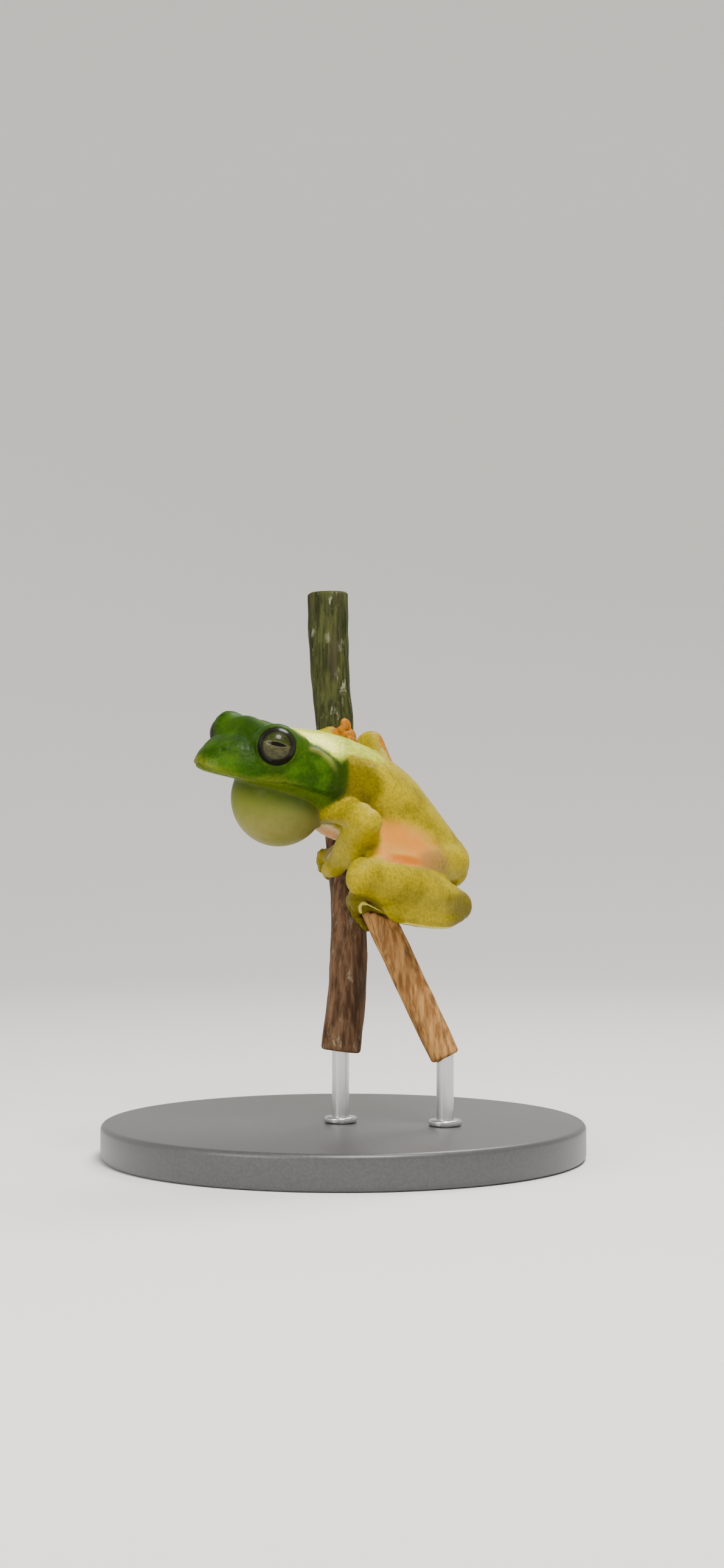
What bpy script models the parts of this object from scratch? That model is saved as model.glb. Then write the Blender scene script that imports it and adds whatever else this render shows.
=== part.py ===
"""White-edged tree frog, a calling male, life size, gripping a short cut length of stem on a stand.

Every size below is in millimetres. +Z is up. The photograph looks along +Y, so X runs to its right.
The frog faces -X and turns its left side and its head a little towards -Y.
"""

import math

import bmesh
import bpy
import numpy as np
from mathutils import Matrix, Vector

MM = 0.001
GAP = 0.34

# The spine: a table of cross-sections from the vent to the snout.
# Each row: distance forward from the vent, height above the floor, slope in degrees, half width,
# height above and below the widest line, squareness of the upper side.
VENT_X = 17.4
VENT_Y = 3.5
SECTIONS = [
    (0.2, 40.0, 52.0, 0.9, 0.8, 0.8, 2.0),
    (1.6, 41.4, 50.0, 3.0, 2.1, 2.1, 2.0),
    (4.4, 43.5, 46.0, 4.7, 2.9, 3.6, 2.1),
    (8.2, 46.5, 40.0, 6.6, 3.9, 5.2, 2.2),
    (12.2, 49.1, 32.0, 8.0, 5.2, 6.6, 2.2),
    (16.2, 51.0, 22.0, 8.9, 6.0, 7.3, 2.2),
    (19.8, 52.2, 14.0, 9.0, 6.3, 7.3, 2.2),
    (23.2, 52.9, 9.0, 8.7, 6.5, 6.2, 2.3),
    (26.2, 53.2, 8.0, 8.6, 6.6, 3.8, 2.4),
    (29.2, 53.4, 8.0, 8.4, 6.6, 2.3, 2.5),
    (32.0, 53.7, 8.0, 7.9, 6.4, 1.6, 2.6),
    (34.8, 54.1, 8.0, 6.9, 5.7, 1.25, 2.5),
    (37.1, 54.4, 8.0, 5.8, 4.9, 1.1, 2.4),
    (39.0, 54.7, 8.0, 4.6, 3.9, 1.0, 2.3),
    (40.5, 54.9, 8.0, 3.2, 2.7, 0.9, 2.2),
    (41.5, 55.1, 8.0, 1.7, 1.5, 0.7, 2.0),
]
# How far the frog turns towards the camera, and how far its left side hangs, along the spine.
HEADING = [(0.0, 25.0), (20.0, 27.0), (29.0, 31.0), (42.0, 31.0)]
ROLL = [(0.0, 20.0), (10.0, 20.0), (27.0, 10.0), (42.0, 10.0)]
NECK_AT = 24.8
MOUTH_CORNER_AT = 26.2
MOUTH_ANGLE = -5.0
MOUTH_DEPTH = 0.35

# The eyes, measured from the section that they stand on.
EYE_AT = 33.6
EYE_OUT = 5.8
EYE_UP = 4.45
EYE_RADIUS = 2.7
LID_THICKNESS = 0.45
LID_OPENING = 64.0
LID_RIM = 0.14
GAZE_FORWARD = 30.0
GAZE_UP = 8.0
NOSTRIL_AT = 39.8
NOSTRIL_ANGLE = 52.0
NOSTRIL_RADIUS = 0.32

# The vocal sac hangs under the head as a filled balloon.
SAC_AT = 28.8
SAC_DROP = 3.0
SAC_RADIUS = (6.7, 6.8, 6.7)

# The perch: a curved stem and a broken side stub, as height, X, Y and radius.
STEM = [
    (15.0, -0.4, -1.8, 2.75),
    (22.0, 0.4, -1.4, 2.65),
    (30.0, 0.75, -0.5, 2.6),
    (35.0, 0.7, 0.3, 2.5),
    (41.0, 0.2, 2.8, 2.5),
    (48.0, -0.3, 6.8, 2.55),
    (55.0, -0.8, 9.6, 2.6),
    (62.0, -1.5, 11.2, 2.75),
    (70.0, -2.1, 12.2, 2.85),
    (80.0, -2.4, 13.0, 2.9),
]
STUB = [
    (14.5, 14.1, -5.4, 2.15),
    (21.0, 11.1, -5.1, 2.1),
    (28.0, 7.8, -4.8, 2.1),
    (34.2, 4.85, -4.6, 2.05),
]
# How far the broken end of the stub rises on its left and falls on its right.
STUB_BREAK = 1.8
BARK_ROUGHNESS = 0.09
STEM_RINGS = 26
STUB_RINGS = 9
BRANCH_SIDES = 16

# The grip: where each palm meets the stem or stub, as height, angle and distance off the bark,
# then each finger's and toe's tip as a height and an angle. Angle 0 faces the camera, 90 its left.
HAND_PALM = ((1.3, 1.6, 1.6), (1.1, 0.9, 0.75))
FOOT_PALM = ((1.3, 1.6, 1.9), (1.0, 0.9, 0.8))
LEFT_HAND = ((41.3, 30.0, 1.0), ((42.6, 98.0), (41.9, 138.0), (41.1, 148.0), (40.5, 120.0)))
RIGHT_HAND = ((58.3, 2.0, 1.0), ((60.2, -31.0), (58.5, -50.0), (56.8, -78.0), (55.2, -84.0)))
LEFT_FOOT = ((36.9, 82.0, 0.6),
             ((35.0, 150.0), (34.6, 196.0), (33.8, 190.0), (33.3, 156.0), (33.7, 118.0)))
RIGHT_FOOT = ((36.2, -138.0, 1.1),
              ((38.9, -184.0), (37.2, -195.0), (35.0, -199.0), (32.8, -190.0), (31.6, -168.0)))
DIGIT_ARCH = 0.15
TIP_LIFT = 0.8
HAND_WEB = 1.5
FOOT_WEB = 2.6
GRIP_VOXEL = 0.2
GRIP_TRIANGLES = 1050

# The display stand.
BASE_RADIUS = 34.0
BASE_HEIGHT = 5.0
BASE_BEVEL = 0.8
ROD_RADIUS = 1.2

# The joints of the limbs, left side first in each pair.
SHOULDERS = ((-1.4, -10.9, 50.3), (-5.9, -3.1, 51.9))
ELBOWS = ((3.4, -16.8, 47.2), (-11.0, 3.2, 54.5))
WRISTS = ((-0.7, -7.0, 41.5), (-2.6, 5.9, 58.9))
HIPS = ((15.0, -1.0, 41.4), (12.0, 5.6, 43.4))
KNEES = ((2.5, -19.4, 39.7), (4.0, 22.0, 57.5))
HEELS = ((16.2, -2.0, 34.9), (9.6, 9.8, 39.0))
TARSUS_STARTS = ((15.6, -2.5, 34.1), (9.6, 9.8, 39.0))
ANKLES = ((5.6, -6.2, 35.4), (2.9, 5.0, 35.9))
TARSUS_SAG = ((0.0, 0.0, -1.6), (0.0, 0.0, 0.0))
THIGH_BOW = ((0.0, 0.0, 0.5), (-0.9, 0.0, -0.5))

# Half width and half thickness along each part of a limb.
UPPER_ARM = ((1.9, 1.7, 1.6, 1.7), (1.7, 1.6, 1.5, 1.6))
FOREARM = ((2.0, 2.45, 2.2, 1.5), (1.9, 2.2, 2.0, 1.3))
THIGH = ((2.7, 3.2, 3.0, 2.2), (2.5, 3.0, 2.7, 2.1))
SHANK = ((2.3, 2.9, 2.8, 1.6), (2.1, 2.5, 2.4, 1.4))
TARSUS = ((1.35, 1.2, 1.3), (1.15, 1.0, 1.0))
DIGIT_WIDTHS = (0.85, 0.68, 0.58, 0.52, 0.5)
DIGIT_THICKNESS = 0.46
DISC_RADIUS = 1.05
DISC_THICKNESS = 0.48
WEB_THICKNESS = 0.55

SKIN_GREEN = (0.13, 0.34, 0.03, 1.0)
SKIN_YELLOW = (0.52, 0.46, 0.04, 1.0)
SKIN_ORANGE = (0.75, 0.30, 0.04, 1.0)
SAC_CREAM = (0.50, 0.50, 0.18, 1.0)
EYE_SILVER = (0.30, 0.27, 0.20, 1.0)
BARK_BROWN = (0.22, 0.16, 0.11, 1.0)
STUB_TAN = (0.50, 0.29, 0.15, 1.0)
STAND_GREY = (0.12, 0.12, 0.12, 1.0)
ROD_STEEL = (0.60, 0.60, 0.60, 1.0)


def unit(vector):
    vector = np.asarray(vector, float)
    return vector / np.linalg.norm(vector, axis=-1, keepdims=True)


def smooth_rows(rows, where):
    """Rows of numbers read between their entries on a Catmull-Rom curve; where counts rows from 0."""
    rows = np.asarray(rows, float)
    where = np.clip(np.asarray(where, float), 0.0, len(rows) - 1.0)
    first = np.minimum(where.astype(int), len(rows) - 2)
    part = (where - first)[:, None]
    ends = np.vstack([2 * rows[0] - rows[1], rows, 2 * rows[-1] - rows[-2]])
    before, start, stop, after = (ends[first + step] for step in range(4))
    return start + 0.5 * part * (
        stop - before
        + part * (2 * before - 5 * start + 4 * stop - after + part * (3 * (start - stop) + after - before))
    )


def read_pairs(pairs, where):
    places, values = zip(*pairs)
    return np.interp(where, places, values)


def spine_rows():
    """The section table with the X and Y of each section's centre and the turn and roll there."""
    step = 0.1
    along = np.arange(0.0, 43.0 + step, step)
    turn = np.radians(read_pairs(HEADING, along))
    x = VENT_X - np.cumsum(np.cos(turn)) * step
    y = VENT_Y - np.cumsum(np.sin(turn)) * step
    return [
        (*row, np.interp(row[0], along, x), np.interp(row[0], along, y),
         read_pairs(HEADING, row[0]), read_pairs(ROLL, row[0]))
        for row in SECTIONS
    ]


SPINE = spine_rows()


def stations_at(distances):
    """The row numbers in the spine table of some distances forward from the vent."""
    fine = np.linspace(0.0, len(SPINE) - 1.0, 600)
    return np.interp(distances, smooth_rows(SPINE, fine)[:, 0], fine)


def spine_frames(rows):
    """Centre, forward, left and up of sections read from the spine table."""
    slope, turn, roll = (np.radians(rows[:, column]) for column in (2, 9, 10))
    ahead = np.stack([-np.cos(turn), -np.sin(turn), np.zeros(len(rows))], 1)
    left = np.stack([np.sin(turn), -np.cos(turn), np.zeros(len(rows))], 1)
    upright = np.array([[0.0, 0.0, 1.0]])
    forward = ahead * np.cos(slope)[:, None] + upright * np.sin(slope)[:, None]
    up = upright * np.cos(slope)[:, None] - ahead * np.sin(slope)[:, None]
    cosine, sine = np.cos(roll)[:, None], np.sin(roll)[:, None]
    centre = np.stack([rows[:, 7], rows[:, 8], rows[:, 1]], 1)
    return centre, forward, left * cosine - up * sine, up * cosine + left * sine


def trunk_points(distances, angles, grow=0.0):
    """Points on the bare body and head: one ring for each distance, one point for each angle in degrees."""
    rows = smooth_rows(SPINE, stations_at(distances))
    centre, _, left, up = spine_frames(rows)
    angle = np.radians(np.asarray(angles, float))[None, :]
    cosine, sine = np.cos(angle), np.sin(angle)
    power = np.where(sine > 0, 2.0 / rows[:, 6:7], 1.0)
    out = np.sign(cosine) * np.abs(cosine) ** power * (rows[:, 3:4] + grow)
    height = np.where(sine > 0, rows[:, 4:5], rows[:, 5:6]) + grow
    rise = np.sign(sine) * np.abs(sine) ** power * height
    return centre[:, None] + left[:, None] * out[..., None] + up[:, None] * rise[..., None]


def surface_at(distance, angle, side):
    """A point of the bare head or body and its outward direction; side is 1 for left and -1 for right."""
    angle = angle if side > 0 else 180.0 - angle
    ring = trunk_points([distance - 0.2, distance, distance + 0.2], [angle - 2.0, angle, angle + 2.0])
    across = ring[1, 2] - ring[1, 0]
    along = ring[2, 1] - ring[0, 1]
    return ring[1, 1], unit(np.cross(across, along)) * -1.0


def head_frame(distance):
    """Centre, forward, left and up of one section."""
    return [axis[0] for axis in spine_frames(smooth_rows(SPINE, stations_at([distance])))]


def eye_of(side):
    """Centre of an eyeball and the direction in which it looks."""
    centre, forward, left, up = head_frame(EYE_AT)
    place = centre + left * EYE_OUT * side + up * EYE_UP
    turn, lift = math.radians(GAZE_FORWARD), math.radians(GAZE_UP)
    gaze = (left * side * math.cos(turn) + forward * math.sin(turn)) * math.cos(lift) + up * math.sin(lift)
    return place, unit(gaze)


def branch_at(branch, height):
    """Axis point, radius and the directions along, towards the camera and to its left, at a height."""
    table = np.array(branch)
    fine = smooth_rows(table, np.linspace(0.0, len(table) - 1.0, 200))
    inside = min(max(height, fine[0, 0] + 0.5), fine[-1, 0] - 0.5)
    last, here, near = ([np.interp(inside + step, fine[:, 0], fine[:, column]) for column in (1, 2, 3)]
                        for step in (-0.5, 0.0, 0.5))
    slope = np.array([near[0] - last[0], near[1] - last[1], 1.0])
    along = unit(slope)
    front = unit(np.array([0.0, -1.0, 0.0]) + along * along[1])
    axis = np.array([here[0], here[1], inside]) + slope * (height - inside)
    return axis, here[2], along, front, unit(np.cross(front, along))


def on_branch(branch, height, angle, lift):
    """A point near the bark: angle 0 faces the camera and 90 faces the photograph's left."""
    axis, radius, _, front, aside = branch_at(branch, height)
    turn = math.radians(angle)
    outward = front * math.cos(turn) + aside * math.sin(turn)
    return axis + outward * (radius + lift), outward


def material(name, colour, roughness, metallic=0.0):
    made = bpy.data.materials.new(name)
    made.use_nodes = True
    shader = made.node_tree.nodes["Principled BSDF"]
    shader.inputs["Base Color"].default_value = colour
    shader.inputs["Roughness"].default_value = roughness
    shader.inputs["Metallic"].default_value = metallic
    return made


def solid_from_rings(name, rings, start, stop, collection):
    """A closed mesh object from rings of points with a pole at each end, given in millimetres."""
    count, sides = rings.shape[:2]
    points = np.vstack([rings.reshape(-1, 3), start, stop]) * MM
    first, last = count * sides, count * sides + 1
    faces = []
    for ring in range(count - 1):
        for side in range(sides):
            after = (side + 1) % sides
            faces.append((ring * sides + side, ring * sides + after,
                          (ring + 1) * sides + after, (ring + 1) * sides + side))
    for side in range(sides):
        after = (side + 1) % sides
        faces.append((first, after, side))
        faces.append((last, (count - 1) * sides + side, (count - 1) * sides + after))
    mesh = bpy.data.meshes.new(name)
    mesh.from_pydata(points.tolist(), [], faces)
    made = bpy.data.objects.new(name, mesh)
    collection.objects.link(made)
    face_out(mesh)
    return made


def face_out(mesh):
    shape = bmesh.new()
    shape.from_mesh(mesh)
    bmesh.ops.recalc_face_normals(shape, faces=shape.faces)
    if shape.calc_volume(signed=True) < 0:
        bmesh.ops.reverse_faces(shape, faces=shape.faces)
    shape.to_mesh(mesh)
    shape.free()


def tube(name, points, across, through, facing, collection, sides=12, steps=9, caps=3, grow=0.0):
    """A round-ended limb through some points; its thickness is measured along facing."""
    points = np.asarray(points, float)
    where = np.linspace(0.0, len(points) - 1.0, steps)
    centre = smooth_rows(points, where)
    facing = np.broadcast_to(np.asarray(facing, float), points.shape)
    facing = smooth_rows(facing, where)
    sizes = np.linspace(0.0, len(points) - 1.0, len(across))
    wide = np.interp(where, sizes, across) + grow
    thick = np.interp(where, sizes, through) + grow
    along = unit(np.gradient(centre, axis=0))
    inward = unit(facing - along * np.sum(facing * along, 1, keepdims=True))
    sideways = np.cross(along, inward)
    turn = np.linspace(0.0, 2 * math.pi, sides, endpoint=False)
    rings = []

    def ring(at, shift, scale):
        middle = centre[at] + along[at] * shift
        return (middle + np.outer(np.cos(turn), sideways[at]) * wide[at] * scale
                + np.outer(np.sin(turn), inward[at]) * thick[at] * scale)

    cap = [0.5 * math.pi * (caps - step) / (caps + 1) for step in range(caps)]
    for bend in cap:
        rings.append(ring(0, -thick[0] * math.sin(bend), math.cos(bend)))
    for at in range(steps):
        rings.append(ring(at, 0.0, 1.0))
    for bend in reversed(cap):
        rings.append(ring(-1, thick[-1] * math.sin(bend), math.cos(bend)))
    start = centre[0] - along[0] * thick[0]
    stop = centre[-1] + along[-1] * thick[-1]
    return solid_from_rings(name, np.array(rings), start, stop, collection)


def ball(name, centre, radii, axes, collection, sides=20, rings=12):
    """An ellipsoid with its radii along three axes."""
    mesh = bpy.data.meshes.new(name)
    shape = bmesh.new()
    bmesh.ops.create_uvsphere(shape, u_segments=sides, v_segments=rings, radius=1.0)
    frame = np.array(axes).T * np.asarray(radii, float)
    for vertex in shape.verts:
        vertex.co = (np.asarray(centre) + frame @ np.array(vertex.co)) * MM
    shape.to_mesh(mesh)
    shape.free()
    made = bpy.data.objects.new(name, mesh)
    collection.objects.link(made)
    face_out(mesh)
    return made


def turned(name, centre, axis, profile, collection, steps=18):
    """A solid turned about an axis from rows of distance along it and radius, pole to pole."""
    mesh = bpy.data.meshes.new(name)
    points = [(radius * MM, 0.0, along * MM) for along, radius in reversed(profile)]
    mesh.from_pydata(points, [(row, row + 1) for row in range(len(points) - 1)], [])
    made = bpy.data.objects.new(name, mesh)
    collection.objects.link(made)
    spin = made.modifiers.new("spin", "SCREW")
    spin.steps = spin.render_steps = steps
    spin.use_merge_vertices = True
    spin.merge_threshold = 0.00001
    bpy.context.view_layer.update()
    graph = bpy.context.evaluated_depsgraph_get()
    made.data = bpy.data.meshes.new_from_object(made.evaluated_get(graph))
    made.modifiers.clear()
    turn = Vector((0.0, 0.0, 1.0)).rotation_difference(Vector(axis)).to_matrix().to_4x4()
    made.data.transform(Matrix.Translation(Vector(centre) * MM) @ turn)
    face_out(made.data)
    return made


def apply_boolean(target, operation, other=None, others=None, solver="EXACT"):
    """Cuts or joins a node and drops the helper objects that did it."""
    change = target.modifiers.new(operation.lower(), "BOOLEAN")
    change.operation = operation
    change.solver = solver
    if others is not None:
        change.operand_type = "COLLECTION"
        change.collection = others
    else:
        change.object = other
    bpy.context.view_layer.update()
    graph = bpy.context.evaluated_depsgraph_get()
    mesh = bpy.data.meshes.new_from_object(target.evaluated_get(graph))
    target.modifiers.clear()
    target.data = mesh
    for helper in list(others.objects) if others is not None else [other]:
        bpy.data.objects.remove(helper)
    keep_largest(mesh)


def keep_largest(mesh):
    """Leaves one closed surface and clears slivers where that keeps it closed."""
    for reach in (0.004, 0.0):
        shape = bmesh.new()
        shape.from_mesh(mesh)
        bmesh.ops.triangulate(shape, faces=shape.faces)
        if reach:
            bmesh.ops.dissolve_degenerate(shape, edges=shape.edges, dist=reach * MM)
            bmesh.ops.triangulate(shape, faces=shape.faces)
        drop_scraps(shape)
        closed = all(len(edge.link_faces) == 2 for edge in shape.edges)
        if closed or not reach:
            shape.to_mesh(mesh)
        shape.free()
        if closed:
            break


def drop_scraps(shape):
    """Deletes every piece of a surface but the largest."""
    waiting = set(shape.faces)
    pieces = []
    while waiting:
        piece, front = set(), [waiting.pop()]
        while front:
            face = front.pop()
            piece.add(face)
            for edge in face.edges:
                for other in edge.link_faces:
                    if other in waiting:
                        waiting.remove(other)
                        front.append(other)
        pieces.append(piece)
    pieces.sort(key=lambda piece: sum(face.calc_area() for face in piece))
    scraps = [face for piece in pieces[:-1] for face in piece]
    bmesh.ops.delete(shape, geom=scraps, context="FACES")
    loose = [vertex for vertex in shape.verts if not vertex.link_faces]
    bmesh.ops.delete(shape, geom=loose, context="VERTS")


def blend(node, size, triangles):
    """Melts overlapping forms into one even closed surface with about this many triangles."""
    melt = node.modifiers.new("melt", "REMESH")
    melt.mode = "VOXEL"
    melt.voxel_size = size * MM
    soften = node.modifiers.new("soften", "SMOOTH")
    soften.factor = 0.5
    soften.iterations = 1
    thin = node.modifiers.new("thin", "DECIMATE")
    bpy.context.view_layer.update()
    graph = bpy.context.evaluated_depsgraph_get()
    thin.show_viewport = thin.show_render = False
    bpy.context.view_layer.update()
    dense = len(node.evaluated_get(bpy.context.evaluated_depsgraph_get()).data.polygons) * 2
    thin.show_viewport = thin.show_render = True
    thin.ratio = min(1.0, triangles / dense)
    bpy.context.view_layer.update()
    graph = bpy.context.evaluated_depsgraph_get()
    mesh = bpy.data.meshes.new_from_object(node.evaluated_get(graph))
    node.modifiers.clear()
    node.data = mesh


def finish(node, look):
    node.data.materials.clear()
    node.data.materials.append(look)
    node.data.shade_smooth()
    node.data.set_sharp_from_angle(angle=math.radians(40.0))


def trunk_angles():
    """Points round a section, close together at the line of the mouth on each side."""
    upper = [0.5, 6.0, 18.0, 31.0, 44.0, 57.0, 69.0, 80.0]
    lower = [MOUTH_ANGLE, MOUTH_ANGLE - 5.0, -24.0, -44.0, -67.0]
    right = [180.0 - angle for angle in upper[::-1]]
    under = [180.0 - angle for angle in lower]
    return upper + [90.0] + right + under + [270.0] + [360.0 + angle for angle in lower[::-1]]


def trunk(name, first, last, count, collection, grow=0.0, mouth=False):
    """A length of the body or head between two distances from the vent."""
    distances = np.linspace(first, last, count)
    angles = trunk_angles()
    rings = trunk_points(distances, angles, grow)
    if mouth:
        centre = rings.mean(axis=1)
        line = [number for number, angle in enumerate(angles)
                if angle in (180.0 - MOUTH_ANGLE, 360.0 + MOUTH_ANGLE)]
        fade = np.clip((distances - MOUTH_CORNER_AT) / 0.8, 0.0, 1.0)
        for number in line:
            inward = unit(centre - rings[:, number])
            rings[:, number] += inward * (MOUTH_DEPTH * fade)[:, None]
    start, stop = rings[0].mean(axis=0), rings[-1].mean(axis=0)
    _, forward, _, _ = head_frame(last)
    if last >= SECTIONS[-1][0]:
        stop = stop + forward * (0.45 + grow)
    if first <= SECTIONS[0][0]:
        _, forward, _, _ = head_frame(first)
        start = start - forward * (0.35 + grow)
    return solid_from_rings(name, rings, start, stop, collection)


def lid_profile():
    """The eyelid dome: a ball about the eye that stops at a rounded rim round the opening."""
    radius = EYE_RADIUS + LID_THICKNESS
    rows = [(-radius, 0.0)]
    for angle in np.linspace(160.0, LID_OPENING + 9.0, 7):
        rows.append((radius * math.cos(math.radians(angle)), radius * math.sin(math.radians(angle))))
    edge, across = math.radians(LID_OPENING), radius + LID_RIM
    rows += [(across * math.cos(edge), across * math.sin(edge)),
             (across * math.cos(edge) + 0.12, across * math.sin(edge) - 0.3),
             (across * math.cos(edge), 0.0)]
    return rows


def socket_profile():
    """The hole for an eyeball: a ball with clearance that opens into a short flare."""
    radius = EYE_RADIUS + GAP
    rows = [(-radius, 0.0)]
    for angle in np.linspace(160.0, LID_OPENING, 8):
        rows.append((radius * math.cos(math.radians(angle)), radius * math.sin(math.radians(angle))))
    along, across = rows[-1]
    return rows + [(along + 1.6, across + 0.35), (along + 1.6, 0.0)]


def make_head(parts, cutters, looks):
    head = trunk("head", NECK_AT + GAP / 2, SECTIONS[-1][0], 24, parts, mouth=True)
    _, forward, left, up = head_frame(EYE_AT)
    for side in (1, -1):
        place, gaze = eye_of(side)
        apply_boolean(head, "UNION", turned("lid", place, gaze, lid_profile(), cutters))
    for side in (1, -1):
        place, gaze = eye_of(side)
        apply_boolean(head, "DIFFERENCE", turned("socket", place, gaze, socket_profile(), cutters, 20))
        spot, _ = surface_at(NOSTRIL_AT, NOSTRIL_ANGLE, side)
        pit = ball("pit", spot, (NOSTRIL_RADIUS * 1.4, NOSTRIL_RADIUS, NOSTRIL_RADIUS * 1.3),
                   (forward, left, up), cutters, 8, 5)
        apply_boolean(head, "DIFFERENCE", pit)
        eye = ball(f"eye_{'left' if side > 0 else 'right'}", place, (EYE_RADIUS,) * 3,
                   (forward, left, up), parts, 18, 12)
        finish(eye, looks["eye"])
    finish(head, looks["green"])
    return head


def make_torso(parts, looks):
    torso = trunk("torso", SECTIONS[0][0], NECK_AT - GAP / 2, 14, parts)
    finish(torso, looks["yellow"])
    return torso


def make_sac(parts, cutters, looks):
    centre, forward, left, up = head_frame(SAC_AT)
    sac = ball("vocal_sac", centre - up * SAC_DROP, SAC_RADIUS, (forward, left, up), parts, 24, 14)
    body = trunk("sac_cutter", 14.0, SECTIONS[-1][0], 26, cutters, grow=GAP)
    apply_boolean(sac, "DIFFERENCE", body)
    finish(sac, looks["cream"])
    return sac


def make_limb(node, lines, cut_by, parts, cutters, look):
    """One length of a limb, trimmed to clear the pieces that it meets."""
    made = tube(node, collection=parts, **lines)
    for number, cutter in enumerate(cut_by):
        apply_boolean(made, "DIFFERENCE", cutter(f"{node}_cutter_{number}", cutters))
    finish(made, look)
    return made


def limb_lines(start, stop, bow, sizes, facing):
    """The centre line and the sizes of a length of limb, bowed a little to one side."""
    start, stop = np.array(start), np.array(stop)
    middle = (start + stop) / 2 + np.asarray(bow, float)
    return {"points": [start, middle, stop], "across": sizes[0], "through": sizes[1], "facing": facing}


def grown_tube(lines):
    def make(name, cutters):
        return tube(name, collection=cutters, grow=GAP, **lines)
    return make


def grown_body(name, cutters):
    return trunk(name, SECTIONS[0][0], 32.0, 20, cutters, grow=GAP)


def grown_sac(name, cutters):
    centre, forward, left, up = head_frame(SAC_AT)
    radii = np.array(SAC_RADIUS) + GAP
    return ball(name, centre - up * SAC_DROP, radii, (forward, left, up), cutters, 24, 14)


def grown_branch(branch):
    def make(name, cutters):
        count = STUB_RINGS if branch is STUB else STEM_RINGS
        rings = branch_rings(branch, count, 0, GAP + BARK_ROUGHNESS, 0.0)
        return solid_from_rings(name, rings, rings[0].mean(axis=0), rings[-1].mean(axis=0), cutters)
    return make


def make_arms(parts, cutters, looks):
    lines = {}
    for number, side in enumerate(("left", "right")):
        facing = np.cross(np.subtract(ELBOWS[number], SHOULDERS[number]),
                          np.subtract(WRISTS[number], ELBOWS[number]))
        upper = limb_lines(SHOULDERS[number], ELBOWS[number], (0, 0, 0), UPPER_ARM, facing)
        fore = limb_lines(ELBOWS[number], WRISTS[number], (0.3, 0, 0.2), FOREARM, facing)
        make_limb(f"forearm_{side}", fore, [grown_body], parts, cutters, looks["yellow"])
        make_limb(f"upper_arm_{side}", upper, [grown_body, grown_tube(fore), grown_sac],
                  parts, cutters, looks["yellow"])
        lines[side] = fore
    return lines


def make_legs(parts, cutters, looks):
    lines = {}
    for number, side in enumerate(("left", "right")):
        facing = np.cross(np.subtract(KNEES[number], HIPS[number]),
                          np.subtract(HEELS[number], KNEES[number]))
        thigh = limb_lines(HIPS[number], KNEES[number], THIGH_BOW[number], THIGH, facing)
        shank = limb_lines(KNEES[number], HEELS[number], (0, 0, -0.2), SHANK, facing)
        tarsus = limb_lines(TARSUS_STARTS[number], ANKLES[number], TARSUS_SAG[number],
                            TARSUS, (0, 0.3, 1.0))
        make_limb(f"shank_{side}", shank, [grown_body], parts, cutters, looks["yellow"])
        make_limb(f"thigh_{side}", thigh, [grown_body, grown_tube(shank)], parts, cutters, looks["yellow"])
        make_limb(f"tarsus_{side}", tarsus, [grown_tube(shank), grown_branch(STUB), grown_branch(STEM)],
                  parts, cutters, looks["yellow"])
        lines[side] = tarsus
    return lines


def digit_path(branch, root, start, tip):
    """The centre line of a finger or toe over the bark, and the way its thickness faces at each point."""
    heights, angles, lifts = (np.linspace(start[row], tip[row], 5) for row in range(3))
    lifts = lifts + DIGIT_ARCH * np.sin(np.linspace(0.0, math.pi, 5))
    path = [on_branch(branch, *place) for place in zip(heights, angles, lifts)]
    points = [np.asarray(root)] + [point for point, _ in path[1:]]
    return points, [outward for _, outward in path]


def make_digits(name, branch, joint, palm, start, tips, forms, web):
    """A palm with its fingers or toes; each tip is a height and an angle on the branch."""
    hub, outward = on_branch(branch, *start)
    joint = np.asarray(joint, float)
    tube(name, [joint, (joint + hub) / 2, hub], palm[0], palm[1], outward, forms, 12, 6, 2)
    lines = []
    for tip in tips:
        points, facing = digit_path(branch, joint * 0.3 + hub * 0.7, start, (*tip, TIP_LIFT))
        through = (DIGIT_THICKNESS,) * len(DIGIT_WIDTHS)
        tube("digit", points, DIGIT_WIDTHS, through, facing, forms, 8, 9, 1)
        along = unit(points[-1] - points[-2])
        ball("disc", points[-1], (DISC_RADIUS * 1.08, DISC_RADIUS, DISC_THICKNESS),
             (along, np.cross(facing[-1], along), facing[-1]), forms, 12, 8)
        lines.append((points, facing))
    for one, other in zip(lines, lines[1:]):
        webbing(one, other, web, forms)


def webbing(one, other, reach, forms):
    """A thin skin between two neighbouring toes, with a hollow free edge."""
    along, across = 5, 5
    rings = []
    for step in range(along):
        rows = []
        for side in range(across):
            part = side / (across - 1)
            hollow = 1.0 - 0.45 * math.sin(math.pi * part)
            where = 0.3 + step / (along - 1) * reach * hollow
            first, second = (smooth_rows(line[0], [where])[0] for line in (one, other))
            facing = unit(smooth_rows(one[1], [where])[0] + smooth_rows(other[1], [where])[0])
            middle = first * (1 - part) + second * part + facing * 0.25 * math.sin(math.pi * part)
            rows.append((middle, facing))
        half = WEB_THICKNESS / 2
        rings.append([point + facing * half for point, facing in rows]
                     + [point - facing * half for point, facing in rows[::-1]])
    rings = np.array(rings)
    solid_from_rings("web", rings, rings[0].mean(axis=0), rings[-1].mean(axis=0), forms)


def joined(name, forms, collection):
    """One mesh object from all the objects of a collection, whose surfaces may still overlap."""
    shape = bmesh.new()
    for form in list(forms.objects):
        shape.from_mesh(form.data)
        bpy.data.objects.remove(form)
    mesh = bpy.data.meshes.new(name)
    shape.to_mesh(mesh)
    shape.free()
    made = bpy.data.objects.new(name, mesh)
    collection.objects.link(made)
    return made


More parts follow.
